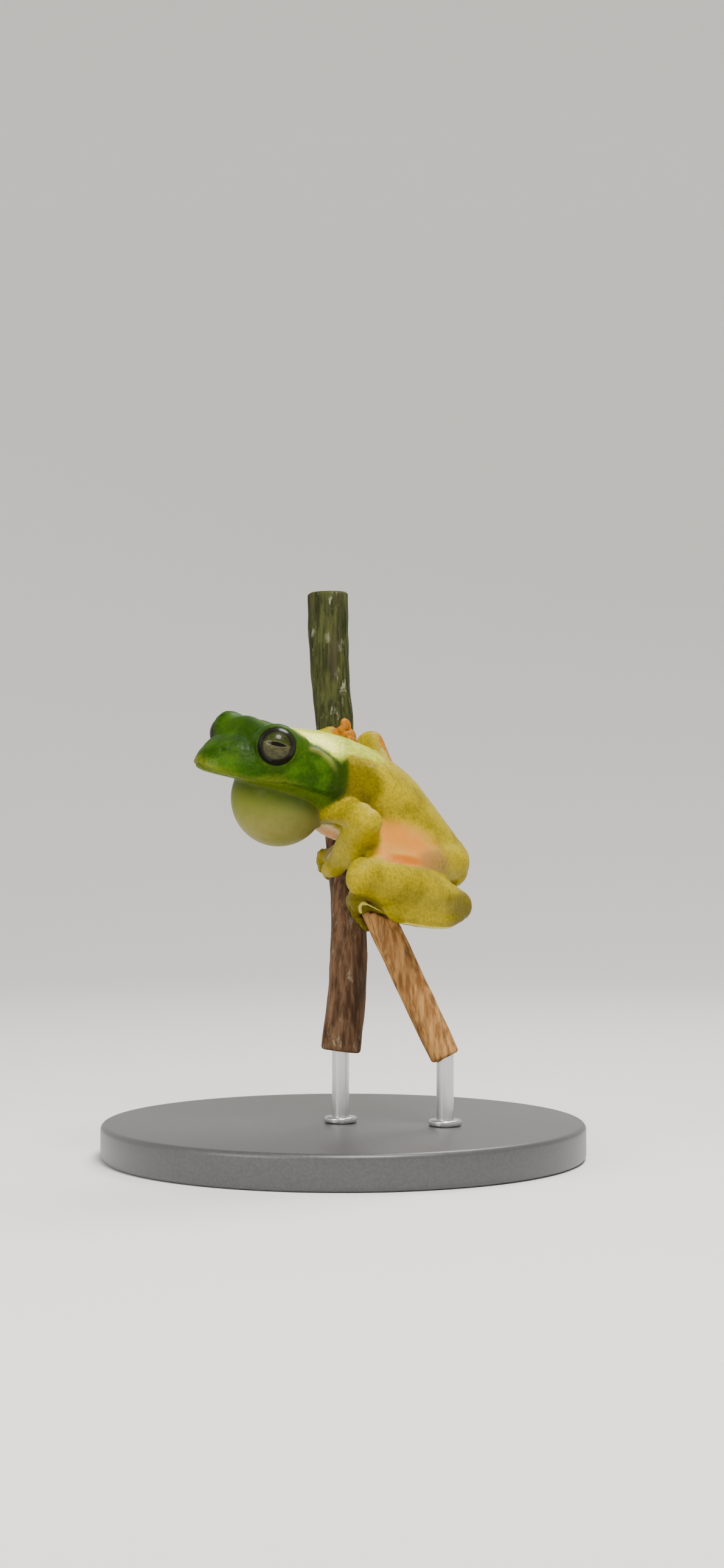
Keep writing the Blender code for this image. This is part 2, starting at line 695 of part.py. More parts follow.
def make_grip(node, branch, joint, palm, start, tips, cut_by, web, parts, cutters, look):
    forms = bpy.data.collections.new(f"{node}_forms")
    bpy.context.scene.collection.children.link(forms)
    make_digits(f"{node}_palm", branch, joint, palm, start, tips, forms, web)
    made = joined(node, forms, parts)
    bpy.data.collections.remove(forms)
    blend(made, GRIP_VOXEL, GRIP_TRIANGLES)
    for number, cutter in enumerate(cut_by):
        apply_boolean(made, "DIFFERENCE", cutter(f"{node}_cutter_{number}", cutters))
    finish(made, look)


def make_hands_and_feet(arms, legs, parts, cutters, looks):
    for number, side, grip in ((0, "left", LEFT_HAND), (1, "right", RIGHT_HAND)):
        make_grip(f"hand_{side}", STEM, WRISTS[number], HAND_PALM, grip[0], grip[1],
                  [grown_tube(arms[side]), grown_branch(STEM)], HAND_WEB, parts, cutters, looks["orange"])
    for number, side, grip, branch in ((0, "left", LEFT_FOOT, STUB), (1, "right", RIGHT_FOOT, STEM)):
        make_grip(f"foot_{side}", branch, ANKLES[number], FOOT_PALM, grip[0], grip[1],
                  [grown_tube(legs[side]), grown_branch(STUB), grown_branch(STEM)],
                  FOOT_WEB, parts, cutters, looks["orange"])


def branch_rings(branch, count, seed, grow, roughness):
    """Rings of points round a branch; the stub's end is broken off at a slant."""
    phases = np.random.default_rng(seed).uniform(0.0, 2 * math.pi, 3)
    heights = np.linspace(branch[0][0] - grow, branch[-1][0] + grow, count)
    turn = np.linspace(0.0, 2 * math.pi, BRANCH_SIDES, endpoint=False)
    rings = []
    for height in heights:
        axis, radius, along, front, aside = branch_at(branch, height)
        ripple = (np.sin(2 * turn + height * 0.21 + phases[0]) * 0.5
                  + np.sin(3 * turn - height * 0.33 + phases[1]) * 0.3
                  + math.sin(height * 0.55 + phases[2]) * 0.2)
        size = radius + grow + roughness * ripple
        rings.append(axis + np.outer(np.cos(turn) * size, front) + np.outer(np.sin(turn) * size, aside))
    if branch is STUB:
        rings[-1] = rings[-1] + np.outer(np.sin(turn) * size / radius * STUB_BREAK, along)
    return np.array(rings)


def make_branch(node, branch, count, seed, parts, look):
    """A cut length of branch with uneven bark."""
    rings = branch_rings(branch, count, seed, 0.0, BARK_ROUGHNESS)
    made = solid_from_rings(node, rings, rings[0].mean(axis=0), rings[-1].mean(axis=0), parts)
    finish(made, look)
    return made


def make_stand(parts, looks):
    bpy.ops.mesh.primitive_cylinder_add(vertices=48, radius=BASE_RADIUS * MM, depth=BASE_HEIGHT * MM,
                                        location=(0, 0, BASE_HEIGHT * MM / 2))
    base = bpy.context.object
    base.name = "stand_base"
    base.data.name = "stand_base"
    edge = base.modifiers.new("edge", "BEVEL")
    edge.width = BASE_BEVEL * MM
    edge.segments = 1
    edge.limit_method = "ANGLE"
    finish(base, looks["stand"])
    move_to(base, parts)
    for name, branch in (("stand_rod_stem", STEM), ("stand_rod_stub", STUB)):
        foot, top = BASE_HEIGHT + GAP, branch[0][0] - GAP - 0.4
        axis = branch_at(branch, branch[0][0])[0]
        bpy.ops.mesh.primitive_cylinder_add(vertices=16, radius=ROD_RADIUS * MM, depth=(top - foot) * MM,
                                            location=(axis[0] * MM, axis[1] * MM, (top + foot) / 2 * MM))
        rod = bpy.context.object
        rod.name = name
        rod.data.name = name
        finish(rod, looks["rod"])
        move_to(rod, parts)


def move_to(node, collection):
    for owner in list(node.users_collection):
        owner.objects.unlink(node)
    collection.objects.link(node)


def main():
    for old in list(bpy.data.objects):
        bpy.data.objects.remove(old)
    parts = bpy.data.collections.new("white_edged_tree_frog")
    cutters = bpy.data.collections.new("cutters")
    for collection in (parts, cutters):
        bpy.context.scene.collection.children.link(collection)
    looks = {
        "green": material("skin_green", SKIN_GREEN, 0.4),
        "yellow": material("skin_yellow", SKIN_YELLOW, 0.4),
        "orange": material("skin_orange", SKIN_ORANGE, 0.4),
        "cream": material("sac_cream", SAC_CREAM, 0.35),
        "eye": material("eye_silver", EYE_SILVER, 0.1),
        "bark": material("bark_brown", BARK_BROWN, 0.8),
        "stub": material("stub_tan", STUB_TAN, 0.8),
        "stand": material("stand_grey", STAND_GREY, 0.5),
        "rod": material("rod_steel", ROD_STEEL, 0.3, 1.0),
    }
    make_torso(parts, looks)
    make_head(parts, cutters, looks)
    make_sac(parts, cutters, looks)
    arms = make_arms(parts, cutters, looks)
    legs = make_legs(parts, cutters, looks)
    make_hands_and_feet(arms, legs, parts, cutters, looks)
    make_branch("perch_stem", STEM, STEM_RINGS, 3, parts, looks["bark"])
    make_branch("perch_stub", STUB, STUB_RINGS, 5, parts, looks["stub"])
    make_stand(parts, looks)


if __name__ == "__main__":
    main()
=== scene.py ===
import math

import bpy
import numpy as np
from mathutils import Matrix, Vector, noise


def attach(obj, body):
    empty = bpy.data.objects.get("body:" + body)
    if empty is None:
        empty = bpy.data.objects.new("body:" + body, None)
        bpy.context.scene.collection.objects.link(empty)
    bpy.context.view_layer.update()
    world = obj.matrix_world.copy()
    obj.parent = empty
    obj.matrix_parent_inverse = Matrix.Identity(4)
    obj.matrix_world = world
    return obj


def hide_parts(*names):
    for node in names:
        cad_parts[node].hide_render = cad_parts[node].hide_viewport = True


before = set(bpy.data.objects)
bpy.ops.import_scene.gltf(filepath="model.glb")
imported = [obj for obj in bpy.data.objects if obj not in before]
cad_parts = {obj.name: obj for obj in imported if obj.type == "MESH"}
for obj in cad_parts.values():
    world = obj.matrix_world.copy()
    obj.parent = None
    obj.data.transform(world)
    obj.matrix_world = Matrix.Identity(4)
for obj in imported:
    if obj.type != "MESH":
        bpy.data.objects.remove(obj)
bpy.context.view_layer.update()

# Sizes are in millimetres in the frame of the CAD model, and angles in degrees, as in the part's source.
# The photograph looks along +Y. The frog faces -X, with its left side towards the camera.
MM = 0.001

# The spine: distance forward from the vent, height, slope, half width, height above and below the
# widest line, squareness of the upper side.
VENT_X = 17.4
VENT_Y = 3.5
SECTIONS = [
    (0.2, 40.0, 52.0, 0.9, 0.8, 0.8, 2.0),
    (1.6, 41.4, 50.0, 3.0, 2.1, 2.1, 2.0),
    (4.4, 43.5, 46.0, 4.7, 2.9, 3.6, 2.1),
    (8.2, 46.5, 40.0, 6.6, 3.9, 5.2, 2.2),
    (12.2, 49.1, 32.0, 8.0, 5.2, 6.6, 2.2),
    (16.2, 51.0, 22.0, 8.9, 6.0, 7.3, 2.2),
    (19.8, 52.2, 14.0, 9.0, 6.3, 7.3, 2.2),
    (23.2, 52.9, 9.0, 8.7, 6.5, 6.2, 2.3),
    (26.2, 53.2, 8.0, 8.6, 6.6, 3.8, 2.4),
    (29.2, 53.4, 8.0, 8.4, 6.6, 2.3, 2.5),
    (32.0, 53.7, 8.0, 7.9, 6.4, 1.6, 2.6),
    (34.8, 54.1, 8.0, 6.9, 5.7, 1.25, 2.5),
    (37.1, 54.4, 8.0, 5.8, 4.9, 1.1, 2.4),
    (39.0, 54.7, 8.0, 4.6, 3.9, 1.0, 2.3),
    (40.5, 54.9, 8.0, 3.2, 2.7, 0.9, 2.2),
    (41.5, 55.1, 8.0, 1.7, 1.5, 0.7, 2.0),
]
SNOUT_CAP = 0.45
VENT_CAP = 0.35
HEADING = [(0.0, 25.0), (20.0, 27.0), (29.0, 31.0), (42.0, 31.0)]
ROLL = [(0.0, 20.0), (10.0, 20.0), (27.0, 10.0), (42.0, 10.0)]
MOUTH_CORNER_AT = 26.2

EYE_AT = 33.8
EYE_OUT = 6.0
EYE_UP = 4.45
FAR_EYE_AHEAD = 1.1
FAR_EYE_LOWER = 0.3
EYE_RADIUS = 2.7
LID_THICKNESS = 0.45
LID_OPENING = 70.0
LID_RIM = 0.16
FAR_LID_DROOP = 0.45
GAZE_FORWARD = 30.0
GAZE_UP = 8.0
NOSTRIL_AT = 39.8
NOSTRIL_ANGLE = 52.0

SAC_AT = 28.6
SAC_DROP = 3.0
SAC_RADIUS = (6.5, 6.8, 6.7)

# The stem and the broken stub: height, X, Y and radius.
STEM = [
    (15.0, -0.4, -1.8, 2.75),
    (22.0, 0.4, -1.4, 2.65),
    (30.0, 0.75, -0.5, 2.6),
    (35.0, 0.7, 0.3, 2.5),
    (41.0, 0.2, 2.8, 2.5),
    (48.0, -0.3, 6.8, 2.55),
    (55.0, -0.8, 9.6, 2.6),
    (62.0, -1.5, 11.2, 2.75),
    (70.0, -2.1, 12.2, 2.85),
    (80.0, -2.4, 13.0, 2.9),
]
STUB = [
    (14.5, 14.1, -5.4, 2.15),
    (21.0, 11.1, -5.1, 2.1),
    (28.0, 7.8, -4.8, 2.1),
    (34.2, 4.85, -4.6, 2.05),
]
STUB_BREAK = 1.8
BARK_ROUGHNESS = 0.09
BASE_RADIUS = 34.0
BASE_HEIGHT = 5.0
ROD_RADIUS = 1.2
COLLAR_HEIGHT = 0.9

# The limbs, left side first: the joints, then half width and half thickness along each length.
SHOULDERS = ((-1.4, -10.9, 50.3), (-5.9, -3.1, 51.9))
ELBOWS = ((3.4, -16.8, 47.2), (-11.0, 3.2, 54.5))
WRISTS = ((-0.7, -7.0, 41.5), (-2.6, 5.9, 58.9))
HIPS = ((15.0, -1.0, 41.4), (12.0, 5.6, 43.4))
KNEES = ((2.5, -19.4, 39.7), (4.0, 22.0, 57.5))
HEELS = ((16.2, -2.0, 34.9), (9.6, 9.8, 39.0))
TARSUS_STARTS = ((15.6, -2.5, 34.1), (9.6, 9.8, 39.0))
ANKLES = ((5.6, -6.2, 35.4), (2.9, 5.0, 35.9))
TARSUS_SAG = ((0.0, 0.0, -1.35), (0.0, 0.0, 0.0))
THIGH_BOW = ((0.0, 0.0, 0.5), (-0.9, 0.0, -0.5))
UPPER_ARM = ((1.9, 1.7, 1.6, 1.7), (1.7, 1.6, 1.5, 1.6))
FOREARM = ((2.0, 2.45, 2.2, 1.5), (1.9, 2.2, 2.0, 1.3))
THIGH = ((2.7, 3.2, 2.9, 2.1), (2.5, 2.7, 2.2, 1.8))
SHANK = ((2.3, 2.9, 2.8, 1.6), (2.1, 2.5, 2.4, 1.4))
TARSUS = ((1.35, 1.2, 1.3), (1.15, 1.0, 1.0))
HAND_PALM = ((1.3, 1.6, 1.6), (1.1, 0.9, 0.75))
FOOT_PALM = ((1.3, 1.6, 1.9), (1.0, 0.9, 0.8))
DIGIT_WIDTHS = (0.85, 0.68, 0.58, 0.52, 0.5)
DIGIT_THICKNESS = 0.46
DISC_RADIUS = 1.05
DISC_THICKNESS = 0.48
DISC_STRETCH = 1.08
KNUCKLE_RADII = (0.62, 0.68, 0.6)
KNUCKLE_PLACES = (0.42, 0.72)
WEB_THICKNESS = 0.4
HAND_WEB = 1.5
FOOT_WEB = 2.6
DIGIT_ARCH = 0.25
TIP_LIFT = 0.5

# Each grip: the palm's height, angle and distance off the bark, then the tip of each finger or toe.
LEFT_HAND = ((41.3, 30.0, 1.0), ((42.6, 98.0), (41.9, 138.0), (41.1, 148.0), (40.5, 120.0)))
RIGHT_HAND = ((58.3, 2.0, 1.0), ((60.2, -31.0), (58.5, -50.0), (56.8, -78.0), (55.2, -84.0)))
LEFT_FOOT = ((36.9, 82.0, 0.6),
             ((35.0, 150.0), (34.6, 196.0), (33.8, 190.0), (33.3, 156.0), (33.7, 118.0)))
RIGHT_FOOT = ((36.2, -138.0, 1.1),
              ((38.9, -184.0), (37.2, -195.0), (35.0, -199.0), (32.8, -190.0), (31.6, -168.0)))

# Folds of the skin, each a row of places on the trunk: distance from the vent, then angle up its side.
EAR_FOLD = [(31.4, 40.0), (29.5, 42.5), (27.7, 39.5), (26.3, 31.5), (25.3, 23.0), (24.7, 16.0)]
BACK_FOLD = [(23.6, 86.0), (22.4, 82.0), (20.8, 77.0), (19.2, 71.0), (17.8, 66.0)]
SIDE_FOLD = [(23.6, 60.0), (22.4, 55.0), (20.8, 51.0), (19.6, 47.0)]

# The mouth's line on the trunk, from its corner to the tip of the snout, in the same measures.
MOUTH = [(26.2, -6.0), (27.8, -4.0), (30.0, -2.0), (32.5, -1.0), (34.8, -5.0), (37.3, -10.5), (39.0, -12.0),
         (41.4, -14.0)]

# Radii of the raised cords that become the eardrums' folds and the white edges, and the other folds' width.
EAR_RIDGE = 0.27
EDGE_RIDGE = 0.15
FOLD_WIDTH = 0.4

# The lower edge of the back's paler top, partly its colour and partly painted light from above, as distance
# and angle, and the green head's rear edge as angle and distance.
LIGHT_FROM = [(14.0, 40.0), (22.0, 36.0), (24.2, 20.0), (25.2, 25.0), (26.3, 31.0), (27.7, 38.0),
              (29.5, 41.0), (31.4, 40.0), (33.0, 46.0)]
# The head's dark green is partly its own colour and partly painted shade.
GREEN_FROM = [(-25, 26.0), (-8, 23.8), (0, 22.9), (40, 22.9), (70, 21.5), (90, 20.5)]

# Patches of colour on the near flank: the middle's X and Z, half its length and height, and its tilt.
FLANK_PATCH = (8.3, 43.7, 5.6, 3.3, -25.0)
FLANK_GLOW = (8.1, 42.05, 2.9, 0.75, -10.0)
FLANK_SHADE = (12.5, 41.5, 2.4, 2.0, -30.0)

# The white edge of the near foot, from the tarsus around its front to its left side.
FOOT_EDGE = [(6.0, -7.2, 34.2), (4.9, -7.8, 34.95), (3.6, -8.0, 35.65), (2.75, -8.1, 35.9),
             (2.35, -8.05, 35.5), (2.35, -7.85, 34.9), (2.5, -7.4, 34.45)]

# The loose skin below the near shank: its lower edge, the line it is drawn back to and its white edge.
SHANK_SKIRT = [(6.5, -15.3, 35.5), (7.7, -13.8, 34.65), (11.4, -9.5, 33.8), (14.2, -6.0, 33.5),
               (16.0, -3.5, 34.0)]
SOLE_LINE = [(7.3, -5.6, 34.5), (10.6, -4.35, 33.5), (13.1, -3.4, 33.5), (15.1, -2.7, 33.9)]
SHANK_EDGE = [(15.8, -4.5, 32.85), (14.7, -6.45, 32.45), (13.4, -8.3, 32.5), (11.95, -10.1, 32.65),
              (10.2, -12.2, 33.05), (8.3, -14.0, 33.5), (7.1, -12.8, 33.85), (6.75, -9.6, 33.95),
              (6.0, -7.2, 34.2)]

# Flesh between the solids: the flanks' line on the trunk, its places along each thigh from hip to knee and
# how far it lies above the thigh, the way such a sheet faces, and the radii of the brows and the rump.
FLANK_LINE = ((3.6, 2.0), (7.0, 2.0), (11.0, -2.0), (15.0, -12.0))
THIGH_SHARES = ((0.05, 0.3, 0.55, 0.8), (0.0, 0.1, 0.25, 0.4))
THIGH_RISE = (0.5, 0.0)
SHEET_FACING = (0.79, -0.56, 0.23)
BROW_RADII = (3.9, 2.8, 2.8)
RUMP_RADII = (2.7, 2.6, 2.6)

# Flesh that rounds the near foot and the near hand: the points and radii of a short limb each.
FOOT_FILLING = ((2.4, -6.5, 35.8), (2.2, -6.9, 36.8), (2.1, -7.7, 37.7)), (1.5, 1.5, 1.25)
HAND_FILLING = ((-0.7, -6.8, 41.4), (-1.2, -5.8, 40.9), (-1.9, -4.6, 40.5)), (1.5, 1.5, 1.2)

# How many places are read along each digit, limb and white edge when points are told apart.
DIGIT_SPOTS = 16
LIMB_SPOTS = 30
EDGE_SPOTS = 90

# The points around a branch, and the rings that close each of its cut ends.
BRANCH_SIDES = 128
CAP_RINGS = 20

# The cell in which the forms melt into one skin, and the rounds that raise hollows and then even it out.
SKIN_VOXEL = 0.13
FILLING_ROUNDS = 70
EVENING_ROUNDS = 6

# The photograph's camera, level, in the frame of the part: its place, and the picture's size in pixels.
CAMERA_AT = (2.6, -375.0, 52.3)
FOCAL_PIXELS = 4388.0
PICTURE = (1190.0, 2576.0)


def unit(vector):
    vector = np.asarray(vector, float)
    return vector / np.maximum(np.linalg.norm(vector, axis=-1, keepdims=True), 1e-9)


def ramp(value, low, high):
    """0 below low, 1 above high and a smooth rise between them; low may be the larger one."""
    part = np.clip((np.asarray(value, float) - low) / (high - low), 0.0, 1.0)
    return part * part * (3.0 - 2.0 * part)


def bell(value, width):
    return np.exp(-(np.asarray(value, float) / width) ** 2)


def smooth_rows(rows, where):
    """Rows of numbers read between their entries on a Catmull-Rom curve; where counts rows from 0."""
    rows = np.asarray(rows, float)
    where = np.clip(np.asarray(where, float), 0.0, len(rows) - 1.0)
    first = np.minimum(where.astype(int), len(rows) - 2)
    part = (where - first)[:, None]
    ends = np.vstack([2 * rows[0] - rows[1], rows, 2 * rows[-1] - rows[-2]])
    before, start, stop, after = (ends[first + step] for step in range(4))
    cubic = 3 * (start - stop) + after - before
    square = 2 * before - 5 * start + 4 * stop - after
    return start + 0.5 * part * (stop - before + part * (square + part * cubic))


def turns(sides):
    """Angles all the way round a ring, in radians."""
    return np.linspace(0.0, 2 * math.pi, sides, endpoint=False)


def read_pairs(pairs, where):
    places, values = zip(*pairs)
    return np.interp(where, places, values)


def spine_rows():
    """The section table with the X and Y of each section's centre and the turn and roll there."""
    step = 0.1
    along = np.arange(0.0, 43.0 + step, step)
    turn = np.radians(read_pairs(HEADING, along))
    x = VENT_X - np.cumsum(np.cos(turn)) * step
    y = VENT_Y - np.cumsum(np.sin(turn)) * step
    return [
        (*row, np.interp(row[0], along, x), np.interp(row[0], along, y),
         read_pairs(HEADING, row[0]), read_pairs(ROLL, row[0]))
        for row in SECTIONS
    ]


SPINE = spine_rows()


def spine_read(distances):
    """The spine table's rows at some distances forward from the vent."""
    fine = np.linspace(0.0, len(SPINE) - 1.0, 600)
    return smooth_rows(SPINE, np.interp(distances, smooth_rows(SPINE, fine)[:, 0], fine))


def spine_frames(rows):
    """Centre, forward, left and up of sections read from the spine table."""
    slope, turn, roll = (np.radians(rows[:, column]) for column in (2, 9, 10))
    ahead = np.stack([-np.cos(turn), -np.sin(turn), np.zeros(len(rows))], 1)
    left = np.stack([np.sin(turn), -np.cos(turn), np.zeros(len(rows))], 1)
    upright = np.array([[0.0, 0.0, 1.0]])
    forward = ahead * np.cos(slope)[:, None] + upright * np.sin(slope)[:, None]
    up = upright * np.cos(slope)[:, None] - ahead * np.sin(slope)[:, None]
    cosine, sine = np.cos(roll)[:, None], np.sin(roll)[:, None]
    centre = np.stack([rows[:, 7], rows[:, 8], rows[:, 1]], 1)
    return centre, forward, left * cosine - up * sine, up * cosine + left * sine


def trunk_points(distances, angles):
    """Points on the bare body and head: one ring for each distance, one point for each angle."""
    rows = spine_read(distances)
    centre, _, left, up = spine_frames(rows)
    angle = np.radians(np.asarray(angles, float))[None, :]
    cosine, sine = np.cos(angle), np.sin(angle)
    power = np.where(sine > 0, 2.0 / rows[:, 6:7], 1.0)
    out = np.sign(cosine) * np.abs(cosine) ** power * rows[:, 3:4]
    rise = np.sign(sine) * np.abs(sine) ** power * np.where(sine > 0, rows[:, 4:5], rows[:, 5:6])
    return centre[:, None] + left[:, None] * out[..., None] + up[:, None] * rise[..., None]


def trunk_place(distance, angle, side):
    """A point on the bare trunk; side is 1 for the left and -1 for the right."""
    return trunk_points([distance], [angle if side > 0 else 180.0 - angle])[0, 0]


def trunk_line(path, side):
    return [trunk_place(*spot, side) for spot in path]


def head_frame(distance):
    """Centre, forward, left and up of the trunk at one distance from the vent."""
    return [axis[0] for axis in spine_frames(spine_read([distance]))]


def eye_of(side):
    """Centre of an eyeball and the direction in which it looks."""
    centre, forward, left, up = head_frame(EYE_AT + (0.0 if side > 0 else FAR_EYE_AHEAD))
    place = centre + left * EYE_OUT * side + up * (EYE_UP - (0.0 if side > 0 else FAR_EYE_LOWER))
    turn, lift = math.radians(GAZE_FORWARD), math.radians(GAZE_UP)
    gaze = (left * side * math.cos(turn) + forward * math.sin(turn)) * math.cos(lift) + up * math.sin(lift)
    return place, unit(gaze)


def branch_at(branch, height):
    """Axis point, radius and the directions along, towards the camera and to its left, at a height."""
    table = np.array(branch)
    fine = smooth_rows(table, np.linspace(0.0, len(table) - 1.0, 200))
    inside = min(max(height, fine[0, 0] + 0.5), fine[-1, 0] - 0.5)
    last, here, near = ([np.interp(inside + step, fine[:, 0], fine[:, column]) for column in (1, 2, 3)]
                        for step in (-0.5, 0.0, 0.5))
    slope = np.array([near[0] - last[0], near[1] - last[1], 1.0])
    along = unit(slope)
    front = unit(np.array([0.0, -1.0, 0.0]) + along * along[1])
    axis = np.array([here[0], here[1], inside]) + slope * (height - inside)
    return axis, here[2], along, front, unit(np.cross(front, along))


def on_branch(branch, height, angle, lift):
    """A point near the bark: angle 0 faces the camera and 90 faces the photograph's left."""
    axis, radius, _, front, aside = branch_at(branch, height)
    turn = math.radians(angle)
    outward = front * math.cos(turn) + aside * math.sin(turn)
    return axis + outward * (radius + lift), outward


def loft(rings, start, stop):
    """A closed form over rings of points with a pole at each end: its points and faces."""
    count, sides = rings.shape[:2]
    points = np.vstack([rings.reshape(-1, 3), start, stop])
    first, last = count * sides, count * sides + 1
    faces = []
    for side in range(sides):
        after = (side + 1) % sides
        faces.append((first, after, side))
        faces.append((last, (count - 1) * sides + side, (count - 1) * sides + after))
        for ring in range(0, (count - 1) * sides, sides):
            faces.append((ring + side, ring + after, ring + sides + after, ring + sides + side))
    return points, faces


def trunk_form():
    distances = np.linspace(SECTIONS[0][0], SECTIONS[-1][0], 170)
    rings = trunk_points(distances, np.linspace(0.0, 360.0, 96, endpoint=False))
    start = rings[0].mean(axis=0) - head_frame(distances[0])[1] * VENT_CAP
    stop = rings[-1].mean(axis=0) + head_frame(distances[-1])[1] * SNOUT_CAP
    return loft(rings, start, stop)


def limb_form(points, across, through, facing, steps=36, sides=28, caps=7):
    """A round-ended limb through some points; its thickness is measured along facing."""
    points = np.asarray(points, float)
    where = np.linspace(0.0, len(points) - 1.0, steps)
    centre = smooth_rows(points, where)
    facing = smooth_rows(np.broadcast_to(np.asarray(facing, float), points.shape), where)
    sizes = smooth_rows(np.transpose([across, through]), np.linspace(0.0, len(across) - 1.0, steps))
    along = unit(np.gradient(centre, axis=0))
    inward = unit(facing - along * np.sum(facing * along, 1, keepdims=True))
    sideways = np.cross(along, inward)
    turn = turns(sides)
    bends = [0.5 * math.pi * (caps - step) / (caps + 1) for step in range(caps)]
    stations = ([(0, -math.sin(bend), math.cos(bend)) for bend in bends]
                + [(step, 0.0, 1.0) for step in range(steps)]
                + [(steps - 1, math.sin(bend), math.cos(bend)) for bend in reversed(bends)])
    rings = []
    for at, shift, scale in stations:
        wide, thick = sizes[at]
        rings.append(centre[at] + along[at] * shift * thick
                     + np.outer(np.cos(turn) * wide * scale, sideways[at])
                     + np.outer(np.sin(turn) * thick * scale, inward[at]))
    start = centre[0] - along[0] * sizes[0, 1]
    stop = centre[-1] + along[-1] * sizes[-1, 1]
    return loft(np.array(rings), start, stop)


def ball_form(centre, radii, axes, sides=48, rings=27):
    """An ellipsoid with its radii along three axes."""
    turn = turns(sides)
    bend = np.linspace(0.0, math.pi, rings + 2)[1:-1]
    shape = np.stack([np.outer(np.sin(bend), np.cos(turn)), np.outer(np.sin(bend), np.sin(turn)),
                      np.repeat(np.cos(bend)[:, None], sides, 1)], -1)
    frame_of = np.array(axes) * np.asarray(radii, float)[:, None]
    return loft(shape @ frame_of + centre, centre + frame_of[2], centre - frame_of[2])


def ridge_form(path, radius, steps=40):
    """A thin raised cord along a path, which becomes a fold once it is melted into the skin."""
    sizes = (radius * 0.5, radius, radius, radius, radius * 0.5)
    return limb_form(path, sizes, sizes, (0.3, -0.2, 1.0), steps, 10, 2)


def limb_lines():
    """Every length of every limb as a name, a centre line, its sizes and the way its thickness faces."""
    lines = []
    for number, side in enumerate(("left", "right")):
        arm = np.cross(np.subtract(ELBOWS[number], SHOULDERS[number]),
                       np.subtract(WRISTS[number], ELBOWS[number]))
        leg = np.cross(np.subtract(KNEES[number], HIPS[number]),
                       np.subtract(HEELS[number], KNEES[number]))
        for name, start, stop, bow, sizes, facing in (
                ("upper_arm", SHOULDERS, ELBOWS, (0, 0, 0), UPPER_ARM, arm),
                ("forearm", ELBOWS, WRISTS, (0.3, 0, 0.2), FOREARM, arm),
                ("thigh", HIPS, KNEES, THIGH_BOW[number], THIGH, leg),
                ("shank", KNEES, HEELS, (0, 0, -0.2), SHANK, leg),
                ("tarsus", TARSUS_STARTS, ANKLES, TARSUS_SAG[number], TARSUS, (0, 0.3, 1.0))):
            ends = np.array([start[number], stop[number]])
            middle = ends.mean(axis=0) + np.asarray(bow, float)
            lines.append((f"{name}_{side}", np.array([ends[0], middle, ends[1]]), sizes, facing))
    return lines


def grip_forms(branch, joint, palm, start, tips, web):
    """The forms of a palm with its fingers or toes, and the centre lines of the digits."""
    hub, outward = on_branch(branch, *start)
    joint = np.asarray(joint, float)
    sizes = [np.interp(np.linspace(0, 2, 5), range(3), size) for size in palm]
    forms = [limb_form([joint, (joint + hub) / 2, hub], *sizes, outward)]
    lines = []
    for height, angle in tips:
        places = np.linspace(start, (height, angle, TIP_LIFT), 6)
        places[:, 2] += DIGIT_ARCH * np.sin(np.linspace(0.0, math.pi, 6))
        path = [on_branch(branch, *place) for place in places]
        points = np.array([joint * 0.3 + hub * 0.7] + [point for point, _ in path[1:]])
        facing = np.array([outward for _, outward in path])
        through = (DIGIT_THICKNESS,) * len(DIGIT_WIDTHS)
        forms.append(limb_form(points, DIGIT_WIDTHS, through, facing, 26, 16, 3))
        along = unit(points[-1] - points[-2])
        across = np.cross(facing[-1], along)
        axes = (along, across, facing[-1])
        disc = (DISC_RADIUS * DISC_STRETCH, DISC_RADIUS, DISC_THICKNESS)
        forms.append(ball_form(points[-1], disc, axes, 28, 15))
        for share in KNUCKLE_PLACES:
            knuckle = smooth_rows(points, [share * 5])[0]
            forms.append(ball_form(knuckle, KNUCKLE_RADII, axes, 16, 9))
        lines.append((points, facing))
    for one, other in zip(lines, lines[1:]):
        forms.append(web_form(one, other, web))
    return forms, [points for points, _ in lines]


def web_form(one, other, reach):
    """A thin skin between two neighbouring digits, with a hollow free edge."""
    along, across = 9, 9
    rings = []
    for step in range(along):
        row = []
        for side in range(across):
            part = side / (across - 1)
            hollow = 1.0 - 0.45 * math.sin(math.pi * part)
            where = 0.3 + step / (along - 1) * reach * hollow
            first, second = (smooth_rows(line[0], [where])[0] for line in (one, other))
            facing = unit(smooth_rows(one[1], [where])[0] + smooth_rows(other[1], [where])[0])
            swell = facing * 0.25 * math.sin(math.pi * part)
            row.append((first * (1 - part) + second * part + swell, facing))
        half = WEB_THICKNESS / 2
        rings.append([point + facing * half for point, facing in row]
                     + [point - facing * half for point, facing in row[::-1]])
    rings = np.array(rings)
    return loft(rings, rings[0].mean(axis=0), rings[-1].mean(axis=0))


def mesh_object(name, points, faces):
    mesh = bpy.data.meshes.new(name)
    mesh.from_pydata((np.asarray(points) * MM).tolist(), [], faces)
    mesh.shade_smooth()
    made = bpy.data.objects.new(name, mesh)
    bpy.context.scene.collection.objects.link(made)
    return made


def read_rows(rows, name, kind, width):
    values = np.empty(len(rows) * width, kind)
    rows.foreach_get(name, values)
    return values.reshape(-1, width)


def add_values(made, name, values):
    """Keeps one number for each point of a piece, for its look to read."""
    layer = made.data.attributes.new(name, "FLOAT", "POINT")
    layer.data.foreach_set("value", np.asarray(values, np.float32))


